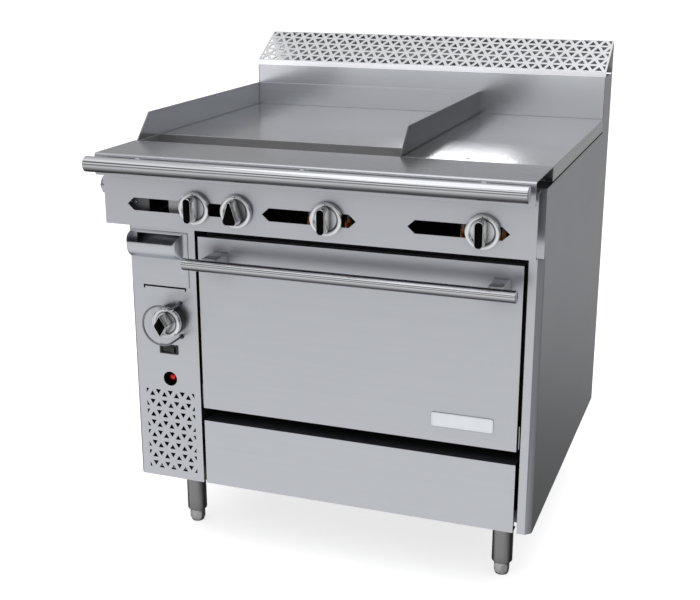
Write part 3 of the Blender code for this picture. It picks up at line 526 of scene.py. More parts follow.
def rounded_outline(width, height, radius, count=8):
    """A rectangle about the origin with round corners."""
    x, y = width / 2 - radius, height / 2 - radius
    points = []
    for cx, cy, start in ((x, y, 0), (-x, y, 90), (-x, -y, 180), (x, -y, 270)):
        points += arc(cx, cy, radius, start, 90, count)
    return points


# Points round a ring, and a width across flats that leaves the ring fully round.
HEX_POINTS = 48
ROUND = 0.1


def hexagon_point(angle, across):
    """Distance from the centre to a hexagon's side in a direction."""
    part = (angle + math.radians(30)) % math.radians(60) - math.radians(30)
    return across / 2 / math.cos(part)


def hex_rings(steps):
    """Rings from (across flats, radius, height): the smaller of hexagon and circle."""
    rings = []
    for across, radius, height in steps:
        ring = []
        for index in range(HEX_POINTS):
            angle = math.tau * index / HEX_POINTS
            reach = min(radius, hexagon_point(angle, across))
            ring.append((reach * math.cos(angle), reach * math.sin(angle), height))
        rings.append(ring)
    return rings


def merge(bm, other):
    """Move another bmesh's shape into this one."""
    mesh = bpy.data.meshes.new("part")
    other.to_mesh(mesh)
    other.free()
    bm.from_mesh(mesh)
    bpy.data.meshes.remove(mesh)


def apply_modifiers(obj):
    """Bake an object's modifiers into its mesh."""
    graph = bpy.context.evaluated_depsgraph_get()
    made = bpy.data.meshes.new_from_object(obj.evaluated_get(graph))
    obj.modifiers.clear()
    obj.data = made


def facing_front(x, y, z):
    """Places a shape built about +Z so that it points to the range's front, -Y."""
    return Matrix.Translation((x, y, z)) @ FACE_FRONT


# ---- sheets
def dress_sheets():
    """Materials and softened edges of the CAD nodes whose shape is already right."""
    groups = {
        "front": ("door_skin",),
        "panel": ("control_panel", "control_column_panel", "kick_panel"),
        "side": ("side_panel_left", "side_panel_right", "upper_side_left",
                 "upper_side_right"),
        "upright": ("rear_panel",),
        "splash": ("left_splash",),
        "divider": ("divider_splash",),
        "gutter": ("grease_trough",),
        "guard": ("backguard", "back_splash"),
        "griddle": ("griddle_plate",),
        "hot_top": ("hot_top_plate",),
        "mill": ("base_pan", "top_frame", "oven_floor"),
        "enamel": ("oven_liner", "door_liner"),
        "wool": ("oven_insulation",),
        "wire": ("door_hinge_left", "door_hinge_right", "oven_rack"),
        "iron": ("griddle_burner", "hot_top_burner", "oven_burner"),
        "black": ("oven_thermostat", "switch_housing"),
        "brass": ("valve_griddle_left", "valve_griddle_pilot", "valve_griddle_right",
                  "valve_hot_top"),
    }
    for look, nodes in groups.items():
        for node in nodes:
            dress(node, look)
            soften(node, PLATE_EDGE if look in ("griddle", "hot_top") else SHEET_EDGE)


# ---- flue cap
CAP_LIP = 0.0127
CAP_SHEET = 0.0014
CAP_PERIODS = 30
CAP_ROWS = 5
CAP_MARGIN = 0.0045
CAP_CUT = 0.006
HOLE_SHARE = 0.56


def triangle_prism(bm, x, y, up, pitch, row, clip):
    """One triangular cutter; clip keeps only its left (-1) or right (+1) half."""
    tall = row * HOLE_SHARE * (1 if up else -1)
    half = pitch * HOLE_SHARE / 2
    left = x if clip > 0 else x - half
    right = x if clip < 0 else x + half
    corners = [(left, y - tall / 3), (right, y - tall / 3), (x, y + tall * 2 / 3)]
    if not up:
        corners.reverse()
    loft([[(cx, cy, height) for cx, cy in corners] for height in (-CAP_CUT, CAP_CUT)], bm)


def perforated_cap():
    """Sloping cap with real triangular holes, a front lip and a back flange."""
    low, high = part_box("flue_cap")
    front_top = low.z + CAP_LIP
    outer = [(low.y, low.z), (low.y, front_top), (high.y, high.z), (high.y, low.z)]
    slope = Vector((high.y - low.y, high.z - front_top))
    lean = slope.angle_signed(Vector((1.0, 0.0)))
    drop = CAP_SHEET / math.cos(lean)
    rise = CAP_SHEET * math.tan(lean)
    front, back = low.y + CAP_SHEET, high.y - CAP_SHEET
    under = [(back, low.z), (back, high.z - drop - rise), (front, front_top - drop + rise),
             (front, low.z)]
    bm = along_x(outer + under, low.x, high.x)
    cap = stand_in("flue_cap_perforated", bm, "cap", "flue_cap", 20.0)
    cutter = cap_holes(low, high, front_top, slope, lean)
    cut = cap.modifiers.new("holes", "BOOLEAN")
    cut.operation = "DIFFERENCE"
    cut.solver = "EXACT"
    cut.object = cutter
    apply_modifiers(cap)
    bpy.data.objects.remove(cutter, do_unlink=True)
    return cap


def cap_holes(low, high, front_top, slope, lean):
    """Cutters for all the holes: rows of triangles that point up and down in turn."""
    pitch = (high.x - low.x - 2 * CAP_MARGIN) / CAP_PERIODS
    row = slope.length / CAP_ROWS
    bm = bmesh.new()
    last = 2 * CAP_PERIODS
    for level in range(CAP_ROWS):
        for step in range(last + 1):
            up = (step + level) % 2 == 1
            x = low.x + CAP_MARGIN + step * pitch / 2
            y = row * (level + (1 / 3 if up else 2 / 3))
            clip = 1 if step == 0 else -1 if step == last else 0
            triangle_prism(bm, x, y, up, pitch, row, clip)
    bmesh.ops.recalc_face_normals(bm, faces=bm.faces)
    bm.transform(Matrix.Translation((0, low.y, front_top)) @ Matrix.Rotation(lean, 4, "X"))
    return object_from("cap_holes", bm)


# ---- ledge and bar
LEDGE_NOSE = 0.006
LEDGE_LIP = 0.012
LEDGE_BACK = 0.025
LEDGE_SHEET = 0.0015


def ledge():
    """Bent ledge with a flange at the back, a round nose, a skirt and a turned-in lip."""
    low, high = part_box("front_ledge")
    inner, top = high.y - LEDGE_SHEET, high.z - LEDGE_SHEET
    front, bottom = low.y + LEDGE_SHEET, low.z + LEDGE_SHEET
    nose, inner_nose = [arc(low.y + LEDGE_NOSE, high.z - LEDGE_NOSE, radius, 90, 90, 10)
                        for radius in (LEDGE_NOSE, LEDGE_NOSE - LEDGE_SHEET)]
    outside = [(high.y, high.z - LEDGE_BACK), (high.y, high.z), *nose, (low.y, low.z),
               (low.y + LEDGE_LIP, low.z)]
    inside = [(inner, high.z - LEDGE_BACK), (inner, top), *inner_nose, (front, bottom),
              (low.y + LEDGE_LIP, bottom)]
    bm = along_x(outside + inside[::-1], low.x, high.x)
    made = stand_in("front_ledge_sheet", bm, "ledge", "front_ledge")
    bevel_edges(made, SHEET_EDGE, 2, 40.0)


BAR_SIDES = 56
BAR_END = 0.0015
HANDLE_END = 0.0014
STUD_PLACES = (-0.36, 0.0, 0.36)
STUD_RADIUS = 0.008
STUD_LENGTH = 0.035
COLLAR_RADIUS = 0.0105
COLLAR_TAPER = 0.005


def guard_bar():
    """Polished bar on three studs whose collars meet the ledge."""
    low, high, middle = size_of("belly_bar")
    radius = (high.z - low.z) / 2
    y = low.y + radius
    bm = rounded_bar(low.x, high.x, y, middle.z, radius, BAR_END)
    stud_end = y - high.y
    profile = [(0.0, 0.0), (STUD_RADIUS, 0.0), (STUD_RADIUS, -STUD_LENGTH),
               (COLLAR_RADIUS, -STUD_LENGTH - COLLAR_TAPER), (COLLAR_RADIUS, stud_end),
               (0.0, stud_end)]
    for x in STUD_PLACES:
        stud = lathe(profile, 32)
        stud.transform(facing_front(middle.x + x, y, middle.z))
        merge(bm, stud)
    stand_in("guard_bar_polished", bm, "bar", "belly_bar", 30.0)


# ---- door
def handle():
    """Polished door handle with softened ends."""
    low, high, middle = size_of("door_handle")
    radius = (high.z - low.z) / 2
    bm = rounded_bar(low.x, high.x, middle.y, middle.z, radius, HANDLE_END)
    stand_in("door_handle_polished", bm, "bar", "door_handle", 30.0)


BADGE_CORNER = 0.005
BRACKET_CORNER = 0.0035


def badge():
    """Blank plate with a raised rim."""
    low, high, middle = size_of("badge")
    outline = rounded_outline(high.x - low.x, high.z - low.z, BADGE_CORNER)
    thick = high.y - low.y
    steps = [(0.0, 0.0), (0.0, thick - 0.0005), (0.0002, thick - 0.0001), (0.0006, thick),
             (0.0022, thick), (0.0025, thick - 0.0003)]
    stand_in("badge_blank", raised(outline, steps), "badge", "badge", 25.0,
             facing_front(middle.x, high.y, middle.z))


def bracket(node):
    """Square-shouldered cast stand-off that flares a little where it meets the door."""
    low, high, middle = size_of(node)
    wide, tall = high.x - low.x, high.z - low.z
    reach = high.y - low.y
    rings = []
    # Distance from the door, and the share of the full width and height there.
    stages = ((0.0, 1.0), (0.0008, 1.0), (0.0022, 0.97), (0.0050, 0.94), (0.0100, 0.92),
              (reach - 0.0010, 0.90), (reach, 0.87))
    for out, share in stages:
        ring = rounded_outline(wide * share, tall * share, BRACKET_CORNER, 10)
        rings.append([(x, z, out) for x, z in ring])
    stand_in(node + "_cast", loft(rings), "bracket", node, 40.0,
             facing_front(middle.x, high.y, middle.z))


# ---- grease drawer
SCOOP_REACH = 0.0217
SCOOP_RISE = 0.0200
SCOOP_SHEET = 0.0015
SCOOP_TOP = 0.1190
HOLLOW_START = 0.0870
CHEEK_LEFT = 0.0018
CHEEK_RIGHT = 0.0135
PLAIN_RIGHT = 0.0123
PLAIN_BOTTOM = 0.0300
FRONT_HEIGHT = 0.1230
FRONT_EDGE = 0.0004
PAN_LEFT = 0.0182
PAN_RIGHT = 0.0113
PAN_FRONT = 0.0220
PAN_RISE = 0.0150
PAN_CORNER = 0.006
# Outside of the scoop's bulge: share of its full reach, and height.
BULGE = ((0.0, 0.0620), (0.06, 0.0628), (0.25, 0.0650), (0.52, 0.0690), (0.78, 0.0745),
         (0.93, 0.0800), (1.0, 0.0860), (1.0, 0.0975))
# Inside of the scoop at its full depth: distance in front of the face, and height.
HOLLOW = ((0.0150, 0.0785), (0.0080, 0.0720), (0.0, 0.0695), (-0.0080, 0.0710),
          (-0.0145, 0.0770), (-0.0175, 0.0860), (-0.0180, 0.0950), (-0.0160, 0.1040),
          (-0.0105, 0.1120), (-0.0040, 0.1160), (0.0, 0.1175))


def scoop_column(share):
    """Points up the drawer's front where the scooped pull has a share of its depth.

    Each is a distance in front of the face and a height over the drawer's bottom edge.
    """
    out = math.sqrt(max(0.0, 1.0 - (1.0 - share) ** 2))
    lip = SCOOP_TOP - SCOOP_RISE * share
    edge = SCOOP_REACH * out
    points = [(0.0, 0.0), (0.0, PLAIN_BOTTOM)]
    points += [(SCOOP_REACH * out * reach, height) for reach, height in BULGE]
    points += [(edge, lip - 0.0005), (max(0.0, edge - 0.0004), lip),
               (max(0.0, edge - 0.0010), lip), (max(0.0, edge - 0.0014), lip - 0.0005)]
    points.append((max(0.0, edge - SCOOP_SHEET), lip + (HOLLOW_START - lip) * share))
    for reach, height in HOLLOW:
        points.append((reach * out, SCOOP_TOP + (height - SCOOP_TOP) * share))
    points += [(0.0, SCOOP_TOP), (0.0, FRONT_HEIGHT - 0.0005), (-FRONT_EDGE, FRONT_HEIGHT)]
    return points


def scoop_stations(low, high):
    """Places along the drawer's front, each with the scoop's share of its depth there."""
    left, right = low.x + CHEEK_LEFT, high.x - PLAIN_RIGHT - CHEEK_RIGHT
    rise, run, fall = 6, 12, 14
    stations = [(low.x, 0.0)]
    stations += [(low.x + CHEEK_LEFT * i / rise, i / rise) for i in range(1, rise + 1)]
    stations += [(left + (right - left) * i / run, 1.0) for i in range(1, run)]
    stations += [(right + CHEEK_RIGHT * i / fall, 1.0 - i / fall) for i in range(fall + 1)]
    return stations + [(high.x - FRONT_EDGE, 0.0), (high.x, 0.0)]


def drawer():
    """Drip drawer: front with a pressed scoop for the fingers, and the pan behind it."""
    low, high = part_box("grease_drawer")
    face = low.y + SCOOP_REACH
    bm = bmesh.new()
    rows = []
    for x, share in scoop_stations(low, high):
        setback = FRONT_EDGE if x == high.x else 0.0
        rows.append([bm.verts.new((x, face - out + setback, low.z + height))
                     for out, height in scoop_column(share)])
    for near, far in zip(rows, rows[1:]):
        for index in range(len(near) - 1):
            bm.faces.new((near[index], far[index], far[index + 1], near[index + 1]))
    bmesh.ops.remove_doubles(bm, verts=bm.verts, dist=MERGE)
    # The rim is turned back towards the cabinet.
    rim = [edge for edge in bm.edges if edge.is_boundary]
    swept = bmesh.ops.extrude_edge_only(bm, edges=rim)["geom"]
    for vert in (g for g in swept if isinstance(g, bmesh.types.BMVert)):
        vert.co.y = face + SCOOP_SHEET
    stand_in("grease_drawer_front", bm, "panel", "grease_drawer", 50.0)
    pan_low = Vector((low.x + PAN_LEFT, face + PAN_FRONT, low.z + PAN_RISE))
    pan_high = Vector((high.x - PAN_RIGHT, high.y, high.z - PAN_RISE))
    pan = tray(pan_low, pan_high, SCOOP_SHEET, PAN_CORNER)
    piece("grease_drawer_pan", pan, "splash", "grease_drawer")


def tray(low, high, wall, radius):
    """An open tray with rounded upright corners and a rounded rim."""
    middle = (low + high) / 2
    outline = rounded_outline(high.x - low.x, high.y - low.y, radius, 6)
    tall = high.z - low.z
    edge, fillet = 0.0004, 0.0010
    steps = [(fillet, 0.0), (0.0, fillet), (0.0, tall - edge), (edge, tall),
             (wall - edge, tall), (wall, tall - edge), (wall, wall + fillet),
             (wall + fillet, wall)]
    bm = raised(outline, steps)
    bm.transform(Matrix.Translation((middle.x, middle.y, low.z)))
    return bm


# ---- knobs
# The grip stands out from the ring's face by its reach, in a shallow dish.
GRIP_REACH = 0.028
DISH = 0.0030
RING_DEPTH = 0.0110
STEM_RADIUS = 0.0040
INDEX_PLACE = 0.0297
INDEX_RADIUS = 0.0012
GRIP_POINTS = 15
CORNER_POINTS = 11


def bar_grip():
    """Straight bar with round ends."""
    half, reach = 0.0091, 0.0174
    return (arc(0, reach, half, 0, 180, GRIP_POINTS)
            + arc(0, -reach, half, 180, 180, GRIP_POINTS))


def pointer_grip():
    """Drop shape with a narrow tip and well-rounded lower corners."""
    tip_place, tip_radius = 0.0212, 0.0044
    corner_x, corner_y, corner_radius = 0.0070, -0.0145, 0.0085
    points = arc(0, tip_place, tip_radius, 10, 160, CORNER_POINTS)
    for x, start in ((-corner_x, 170), (corner_x, 280)):
        points += arc(x, corner_y, corner_radius, start, 90, CORNER_POINTS)
    return points


def diamond_grip():
    """Lozenge with lightly rounded corners."""
    half, reach, blunt = 0.0156, 0.0252, 0.05
    corners = ((half, 0.0), (0.0, reach), (-half, 0.0), (0.0, -reach))
    points = []
    for index, (x, y) in enumerate(corners):
        before, after = corners[index - 1], corners[(index + 1) % 4]
        points += [(x + (before[0] - x) * share, y + (before[1] - y) * share)
                   for share in (0.16, 0.08)]
        points.append((x - x * blunt, y - y * blunt))
        points += [(x + (after[0] - x) * share, y + (after[1] - y) * share)
                   for share in (0.08, 0.16)]
    return points


def knob(node, grip):
    """Ring-faced knob in four pieces: body, grip, black inlay and index dot."""
    low, high, middle = size_of(node)
    radius = (high.x - low.x) / 2
    face = low.y + GRIP_REACH
    stem_end = -(high.y - face)
    place = facing_front(middle.x, face, middle.z)
    profile = [(0.0, -DISH), (0.0215, -DISH), (0.0232, -DISH + 0.0003),
               (0.0255, -0.0007), (0.0268, -0.0001), (0.0280, 0.0002), (0.0312, 0.0001),
               (radius - 0.0014, -0.0004), (radius - 0.0004, -0.0012),
               (radius, -0.0026), (radius, -RING_DEPTH + 0.0010),
               (radius - 0.0008, -RING_DEPTH), (STEM_RADIUS, -RING_DEPTH),
               (STEM_RADIUS, stem_end), (0.0, stem_end)]
    stand_in(node + "_body", lathe(profile, 72), "knob", node, 30.0, place)
    top = GRIP_REACH
    steps = [(0.0, -DISH - 0.0005), (0.0002, top - 0.0014), (0.0005, top - 0.0005),
             (0.0010, top), (0.0013, top), (0.0015, top - 0.0012)]
    piece(node + "_grip", raised(grip, steps), "knob", node, place=place)
    fill = [(0.0014, top - 0.0014), (0.0014, top - 0.0006), (0.0019, top - 0.0003)]
    piece(node + "_inlay", raised(grip, fill), "inlay", node, place=place)
    dot = lathe([(0.0, 0.0005), (INDEX_RADIUS - 0.0003, 0.0005), (INDEX_RADIUS, 0.0002),
                 (INDEX_RADIUS, -0.0004), (0.0, -0.0004)], 20)
    dot.transform(Matrix.Translation((0.0, INDEX_PLACE, 0.0)))
    piece(node + "_index", dot, "inlay", node, place=place)


def knobs():
    grips = {"knob_griddle_left": bar_grip, "knob_griddle_pilot": pointer_grip,
             "knob_griddle_right": bar_grip, "knob_hot_top": bar_grip,
             "knob_oven": diamond_grip}
    for node, grip in grips.items():
        knob(node, grip())


# ---- knob guard
WIRE = 0.0023
WIRE_BEND = 0.006
WIRE_BEND_POINTS = 8
# Across flats, radius and height of the nut; radius and height of the washer.
WIRE_NUT = ((0.0078, 0.0045, 0.0004), (0.0084, 0.0047, 0.0010), (0.0084, 0.0047, 0.0040),
            (0.0078, 0.0043, 0.0046))
WIRE_WASHER = ((0.0, 0.0), (0.0058, 0.0), (0.0060, 0.0002), (0.0060, 0.0007),
               (0.0057, 0.0009), (0.0, 0.0009))


def bend(before, corner, after):
    """Points of the wire's soft bend round a corner."""
    start = corner + (before - corner).normalized() * WIRE_BEND
    end = corner + (after - corner).normalized() * WIRE_BEND
    shares = [i / (WIRE_BEND_POINTS - 1) for i in range(WIRE_BEND_POINTS)]
    return [start.lerp(corner, t).lerp(corner.lerp(end, t), t) for t in shares]


def knob_guard():
    """One bent wire round the oven knob, with a nut and a washer at each foot."""
    low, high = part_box("knob_guard")
    centre = middle_of("knob_oven")
    radius = centre.x - (low.x + WIRE)
    reach = math.degrees(math.acos((high.x - WIRE - centre.x) / radius))
    loop = [Vector((x, low.y + WIRE, z)) for x, z in
            arc(centre.x, centre.z, radius, reach, 360 - 2 * reach, 61)]
    first, last = loop[0], loop[-1]
    feet = [Vector((point.x, high.y, point.z)) for point in (first, last)]
    clear = WIRE_BEND * 1.2
    path = [feet[0]] + bend(feet[0], first, loop[1])
    path += [p for p in loop if (p - first).length > clear and (p - last).length > clear]
    path += bend(loop[-2], last, feet[1]) + [feet[1]]
    bm = tube(path, WIRE, 16)
    for end in feet:
        for part in (loft(hex_rings(WIRE_NUT)), lathe(WIRE_WASHER, 32)):
            part.transform(facing_front(end.x, end.y, end.z))
            merge(bm, part)
    stand_in("knob_guard_wire", bm, "guard_wire", "knob_guard", 30.0)


# ---- switch and pilot
ROCKER_EDGE = 0.0009
CUP_BORE = 0.0036
CUP_WALL = 0.0013
CUP_DEPTH = 0.0340
BUTTON_DOME = 0.0030
BUTTON_HEAD = 0.0120
BUTTON_STEM = 0.0030


def rocker():
    dress("switch_rocker", "black")
    soften("switch_rocker", ROCKER_EDGE, 3)


def pilot_cup():
    """Black cup with a rolled rim."""
    low, high, middle = size_of("pilot_cup")
    radius = (high.x - low.x) / 2
    inside = radius - CUP_WALL
    back = low.y - high.y
    end = (CUP_BORE, -CUP_DEPTH - 0.0012)
    profile = [end, (inside - 0.0003, -CUP_DEPTH), (inside, -CUP_DEPTH + 0.0010),
               (inside, -0.0010), (inside + 0.0003, -0.0002), (radius - 0.0005, 0.0),
               (radius, -0.0003), (radius, back), (CUP_BORE, back), end]
    stand_in("pilot_cup_moulded", lathe(profile), "inlay", "pilot_cup", 30.0,
             facing_front(middle.x, low.y, middle.z))


def pilot_button():
    """Red button with a domed head on a thin stem."""
    low, high, middle = size_of("pilot_button")
    radius = (high.x - low.x) / 2
    back = low.y - high.y
    turns = [math.radians(angle) for angle in range(0, 91, 10)]
    dome = [(radius * math.sin(turn), -BUTTON_DOME + BUTTON_DOME * math.cos(turn))
            for turn in turns]
    profile = dome + [(radius, -BUTTON_HEAD + 0.0005), (radius - 0.0005, -BUTTON_HEAD),
                      (BUTTON_STEM, -BUTTON_HEAD), (BUTTON_STEM, back), (0.0, back)]
    stand_in("pilot_button_domed", lathe(profile, 48), "red", "pilot_button", 40.0,
             facing_front(middle.x, low.y, middle.z))


# ---- legs
# Heights of the legs and feet are above the floor.
TUBE_BORE = 0.0121
TUBE_PLUG = 0.012
TUBE_END = 0.0300
TUBE_SHOULDER = 0.0340
FOOT_STEM = 0.0115
THREADS = 20
THREAD_START = 0.0300


def leg(node):
    """Tube leg with a rolled bottom edge and a plug at its top."""
    low, high, middle = size_of(node)
    radius = (high.x - low.x) / 2
    plug = high.z - TUBE_PLUG
    profile = [(0.0, high.z), (radius, high.z), (radius, TUBE_SHOULDER),
               (radius - 0.0006, TUBE_SHOULDER - 0.0012),
               (radius - 0.0028, TUBE_END + 0.0006), (radius - 0.0040, TUBE_END),
               (TUBE_BORE, TUBE_END), (TUBE_BORE, plug), (0.0, plug)]
    stand_in(node + "_tube", lathe(profile), "leg", node, 30.0,
             Matrix.Translation((middle.x, middle.y, 0)))


def foot(node):
    """Screw-in foot: threaded stem, hexagonal collar and a tapered pad."""
    low, high, middle = size_of(node)
    radius = (high.x - low.x) / 2
    flats = radius * 2 * math.cos(math.radians(30)) + 0.0008
    rows = [(ROUND, 0.0135, 0.0), (ROUND, 0.0146, 0.0010), (ROUND, 0.0165, 0.0068),
            (flats, radius - 0.0006, 0.0078), (flats, radius, 0.0092), (flats, radius, 0.0228),
            (flats, radius - 0.0004, 0.0240), (ROUND, radius - 0.0006, 0.0246),
            (ROUND, radius - 0.0006, 0.0290), (ROUND, radius - 0.0012, 0.0295),
            (ROUND, FOOT_STEM, 0.0296)]
    run = high.z - THREAD_START - 0.0010
    pitch = run / THREADS
    for index in range(THREADS):
        base = THREAD_START + pitch * index
        rows += [(ROUND, FOOT_STEM - 0.0008, base + pitch * 0.25),
                 (ROUND, FOOT_STEM, base + pitch * 0.75)]
    rows.append((ROUND, FOOT_STEM - 0.0010, high.z))
    stand_in(node + "_screw", loft(hex_rings(rows)), "foot", node, 30.0,
             Matrix.Translation((middle.x, middle.y, 0)))


def legs():
    for end in ("front", "rear"):
        for side in ("left", "right"):
            leg("leg_%s_%s" % (end, side))
            foot("foot_%s_%s" % (end, side))


# ---- manifold and fittings
PIPE_RADIUS = 0.0150
PLUG_FLATS = 0.0345
PLUG_NECK = 0.0182
FITTING_DROP = 0.0380
FITTING_TUBE = 0.0064
# Across flats, radius and height.
FITTING_NUT = ((0.0128, 0.0070, -0.0130), (0.0136, 0.0076, -0.0120), (0.0136, 0.0076, 0.0030),
               (0.0128, 0.0070, 0.0040), (ROUND, 0.0062, 0.0042), (ROUND, 0.0058, 0.0070))
SMALL_PLATE = 0.0016
PLATE_DROP = 0.0310
LIGHTER_SIZE = (0.040, 0.034)
LIGHTER_LEFT = 0.0520
LIGHTER_FRONT = 0.012
BAFFLE_SIZE = (0.072, 0.036)
BAFFLE_RIGHT = 0.0810
BAFFLE_FRONT = 0.016
SCREW_PLACES = ((-0.0060, 0.0020, 0.0018), (0.0050, 0.0020, 0.0018))
SCREW_HEAD = ((0.0, 0.0022), (0.0012, 0.0020), (0.0022, 0.0012), (0.0025, 0.0), (0.0, 0.0))


def manifold():
    """Pipe with a hexagonal plug-cap where it leaves the cabinet."""
    low, high, middle = size_of("manifold_pipe")
    radius = (high.z - low.z) / 2
    rows = [(ROUND, 0.0130, 0.0), (ROUND, 0.0145, 0.0008),
            (PLUG_FLATS - 0.0005, 0.0188, 0.0022), (PLUG_FLATS, radius, 0.0040),
            (PLUG_FLATS, radius, 0.0140), (PLUG_FLATS - 0.0005, 0.0188, 0.0155),
            (ROUND, PLUG_NECK, 0.0170), (ROUND, PLUG_NECK, 0.0290),
            (ROUND, PLUG_NECK - 0.0012, 0.0300), (ROUND, PIPE_RADIUS, 0.0302),
            (ROUND, PIPE_RADIUS, high.x - low.x)]
    place = Matrix.Translation((low.x, middle.y, middle.z))
    place = place @ Matrix.Rotation(math.radians(90), 4, "Y")
    stand_in("manifold_pipe_capped", loft(hex_rings(rows)), "wire", "manifold_pipe", 30.0, place)


def take_off(name, x, y, z):
    """Compression fitting under the manifold: brass nut, ferrule and a short tube."""
    nut = loft(hex_rings(FITTING_NUT))
    piece(name + "_nut", nut, "brass", "manifold_pipe",
          place=Matrix.Translation((x, y, z)))
    pipe = tube([(x, y, z + 0.0060), (x, y, z + 0.0300)], FITTING_TUBE, 24)
    piece(name + "_tube", pipe, "mill", "manifold_pipe")


def small_plate(name, size, look, place):
    """A thin plate behind the control panel."""
    edge = 0.0004
    steps = [(edge, 0.0), (0.0, edge), (0.0, SMALL_PLATE - edge), (edge, SMALL_PLATE)]
    plate = raised(rounded_outline(*size, 0.0020, 5), steps)
    piece(name, plate, look, "control_panel", place=place)


def valve_row():
    """Small fittings seen through the control panel's slots."""
    low, _, middle = size_of("manifold_pipe")
    first = middle_of("knob_griddle_left").x
    third = middle_of("knob_griddle_right").x
    fourth = middle_of("knob_hot_top").x
    places = {"hot_top_take_off": fourth - 0.0460, "hot_top_outlet": fourth + 0.0300,
              "griddle_take_off": third - 0.0470, "griddle_outlet": third + 0.0330}
    for name, x in places.items():
        take_off(name, x, middle.y, middle.z - FITTING_DROP)
    level = middle.z - PLATE_DROP
    place = facing_front(first - LIGHTER_LEFT, middle.y - LIGHTER_FRONT, level)
    small_plate("lighter_bracket", LIGHTER_SIZE, "gutter", place)
    place = facing_front(low.x + BAFFLE_RIGHT, middle.y - BAFFLE_FRONT, level)
    small_plate("side_baffle", BAFFLE_SIZE, "mill", place)
    screws = bmesh.new()
    for spot in SCREW_PLACES:
        screw = lathe(SCREW_HEAD, 24)
        screw.transform(Matrix.Translation(spot))
        merge(screws, screw)
    piece("side_screws", screws, "wire", "control_panel", place=place)


# ---- stage
FILL_PLACE = (-0.96, -2.35, 0.90)
FILL_AIM = (0.0, 0.45, 1.05)
FILL_SIZE = (2.4, 0.5)
FLOOR_HALF = 40.0
FLOOR_GLOW = 0.70


def area_light(name, place, aim, size, watts):
    data = bpy.data.lights.new(name, "AREA")
    data.shape = "RECTANGLE"
    data.size, data.size_y = size
    data.energy = watts
    lamp = bpy.data.objects.new(name, data)
    lamp.location = place
    lamp.rotation_euler = (Vector(aim) - Vector(place)).to_track_quat("-Z", "Y").to_euler()
    lamp.visible_camera = False
    bpy.context.scene.collection.objects.link(lamp)
    return lamp


def light_only(lamp, name, pieces):
    """Let a lamp reach these pieces and nothing else."""
    lit = bpy.data.collections.new(name)
    for obj in pieces:
        lit.objects.link(obj)
    lamp.light_linking.receiver_collection = lit


def lights(cap):
    """Overhead softbox, and three lamps that each reach only a few pieces."""
    area_light("overhead_softbox", (0.2, -0.3, 3.4), (0.0, 0.0, 0.9), (3.2, 2.6), 20)
    strip = area_light("rear_strip", (-0.56, 3.0, 1.78), (0.2, -0.2, 0.93), (0.5, 0.36), 9)
    light_only(strip, "lit_plates", (NODES["griddle_plate"], NODES["hot_top_plate"]))
    fill = area_light("guard_fill", FILL_PLACE, FILL_AIM, FILL_SIZE, 1.0)
    light_only(fill, "lit_upstand", (NODES["backguard"], NODES["back_splash"]))
    fill = area_light("cap_fill", FILL_PLACE, FILL_AIM, FILL_SIZE, 7.0)
    light_only(fill, "lit_cap", (cap,))


def floor():
    """Pale, faintly glowing floor that leaves no reflection in the steel."""
    bm = bmesh.new()
    bmesh.ops.create_grid(bm, x_segments=2, y_segments=2, size=FLOOR_HALF)
    look = Look("studio_floor", (0.93, 0.93, 0.93), 0.0)
    look.shader.inputs["Emission Color"].default_value = grey(1.0)
    look.shader.inputs["Emission Strength"].default_value = FLOOR_GLOW
    cloud = look.even_noise(0.4, 2.0)
    tint = look.mix(look.spread(cloud, 0.0, 1.0), (0.92, 0.92, 0.92), (0.94, 0.94, 0.94))
    rough = look.spread(cloud, 0.85, 0.95)
    ground = object_from("studio_floor", bm)
    ground.data.materials.append(look.finish(tint, rough))
    ground.visible_glossy = False


# Brightness of the studio dome against the height of a direction, from -1 to 1.
FRONT_DOME = ((-1.0, 0.80), (-0.62, 0.86), (-0.48, 0.92), (-0.36, 0.95), (-0.26, 0.86),
              (-0.16, 0.74), (-0.05, 0.34), (0.05, 0.24), (0.14, 0.30), (0.22, 0.95),
              (0.32, 1.00), (0.42, 0.22), (0.55, 0.18), (0.68, 1.10), (0.86, 0.85),
              (1.0, 0.64))
BACK_DOME = ((-1.0, 0.05), (-0.48, 0.08), (-0.40, 0.13), (-0.32, 0.30), (-0.24, 0.38),
             (-0.14, 0.35), (0.05, 0.36), (0.14, 0.40), (0.24, 0.34), (0.36, 0.45),
             (0.60, 0.66), (1.0, 0.64))
RIGHT_DIM = ((-1.0, 0.95), (-0.50, 1.0), (0.20, 1.0), (0.50, 0.85), (0.85, 0.36), (1.0, 0.36))


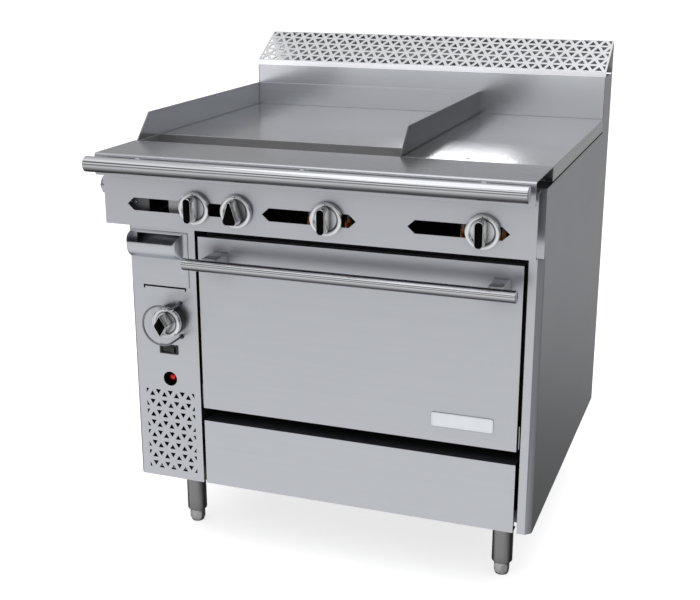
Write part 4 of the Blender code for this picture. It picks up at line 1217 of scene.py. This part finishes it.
def world():
    """Studio dome: bright bands in front and dim low down behind, before a white wall."""
    made = bpy.data.worlds.new("studio_dome")
    made.use_nodes = True
    tree = made.node_tree
    add, link = tree.nodes.new, tree.links.new
    background = tree.nodes["Background"]
    direction = add("ShaderNodeTexCoord").outputs["Generated"]
    split = add("ShaderNodeSeparateXYZ")
    link(direction, split.inputs["Vector"])

    def ramp(value, stops):
        """Grey levels at stops along a value that runs from -1 to 1."""
        scaled = add("ShaderNodeMapRange")
        scaled.inputs["From Min"].default_value = -1.0
        link(value, scaled.inputs["Value"])
        node = add("ShaderNodeValToRGB")
        node.color_ramp.interpolation = "EASE"
        stops = [((place + 1.0) / 2.0, level) for place, level in stops]
        first, last = node.color_ramp.elements
        first.position, last.position = stops[0][0], stops[-1][0]
        first.color, last.color = grey(stops[0][1]), grey(stops[-1][1])
        for position, level in stops[1:-1]:
            node.color_ramp.elements.new(position).color = grey(level)
        link(scaled.outputs["Result"], node.inputs["Fac"])
        return node.outputs["Color"]

    front = ramp(split.outputs["Z"], FRONT_DOME)
    back = ramp(split.outputs["Z"], BACK_DOME)
    turn = ramp(split.outputs["Y"], ((-0.20, 0.0), (0.45, 1.0)))
    dim = ramp(split.outputs["X"], RIGHT_DIM)
    mix = add("ShaderNodeMix")
    mix.data_type = "RGBA"
    link(turn, mix.inputs["Factor"])
    link(front, mix.inputs[MIX_FIRST])
    link(back, mix.inputs[MIX_SECOND])
    scaled = add("ShaderNodeMix")
    scaled.data_type = "RGBA"
    scaled.blend_type = "MULTIPLY"
    scaled.inputs["Factor"].default_value = 1.0
    link(mix.outputs[MIX_RESULT], scaled.inputs[MIX_FIRST])
    link(dim, scaled.inputs[MIX_SECOND])
    link(scaled.outputs[MIX_RESULT], background.inputs["Color"])
    backdrop = add("ShaderNodeBackground")
    backdrop.inputs["Color"].default_value = grey(1.0)
    seen = add("ShaderNodeLightPath").outputs["Is Camera Ray"]
    choose = add("ShaderNodeMixShader")
    link(seen, choose.inputs["Fac"])
    link(background.outputs["Background"], choose.inputs[1])
    link(backdrop.outputs["Background"], choose.inputs[2])
    link(choose.outputs["Shader"], tree.nodes["World Output"].inputs["Surface"])
    bpy.context.scene.world = made


def camera():
    data = bpy.data.cameras.new("camera")
    data.lens = CAMERA_LENS
    data.sensor_width = SENSOR_WIDTH
    made = bpy.data.objects.new("camera", data)
    made.location = CAMERA_PLACE
    made.rotation_euler = (CAMERA_TILT, 0.0, CAMERA_TURN)
    bpy.context.scene.collection.objects.link(made)
    bpy.context.scene.camera = made


bpy.context.scene.view_settings.view_transform = "Standard"
camera()
world()
floor()
dress_sheets()
lights(perforated_cap())
ledge()
guard_bar()
handle()
bracket("handle_bracket_left")
bracket("handle_bracket_right")
badge()
drawer()
knobs()
knob_guard()
rocker()
pilot_cup()
pilot_button()
legs()
manifold()
valve_row()
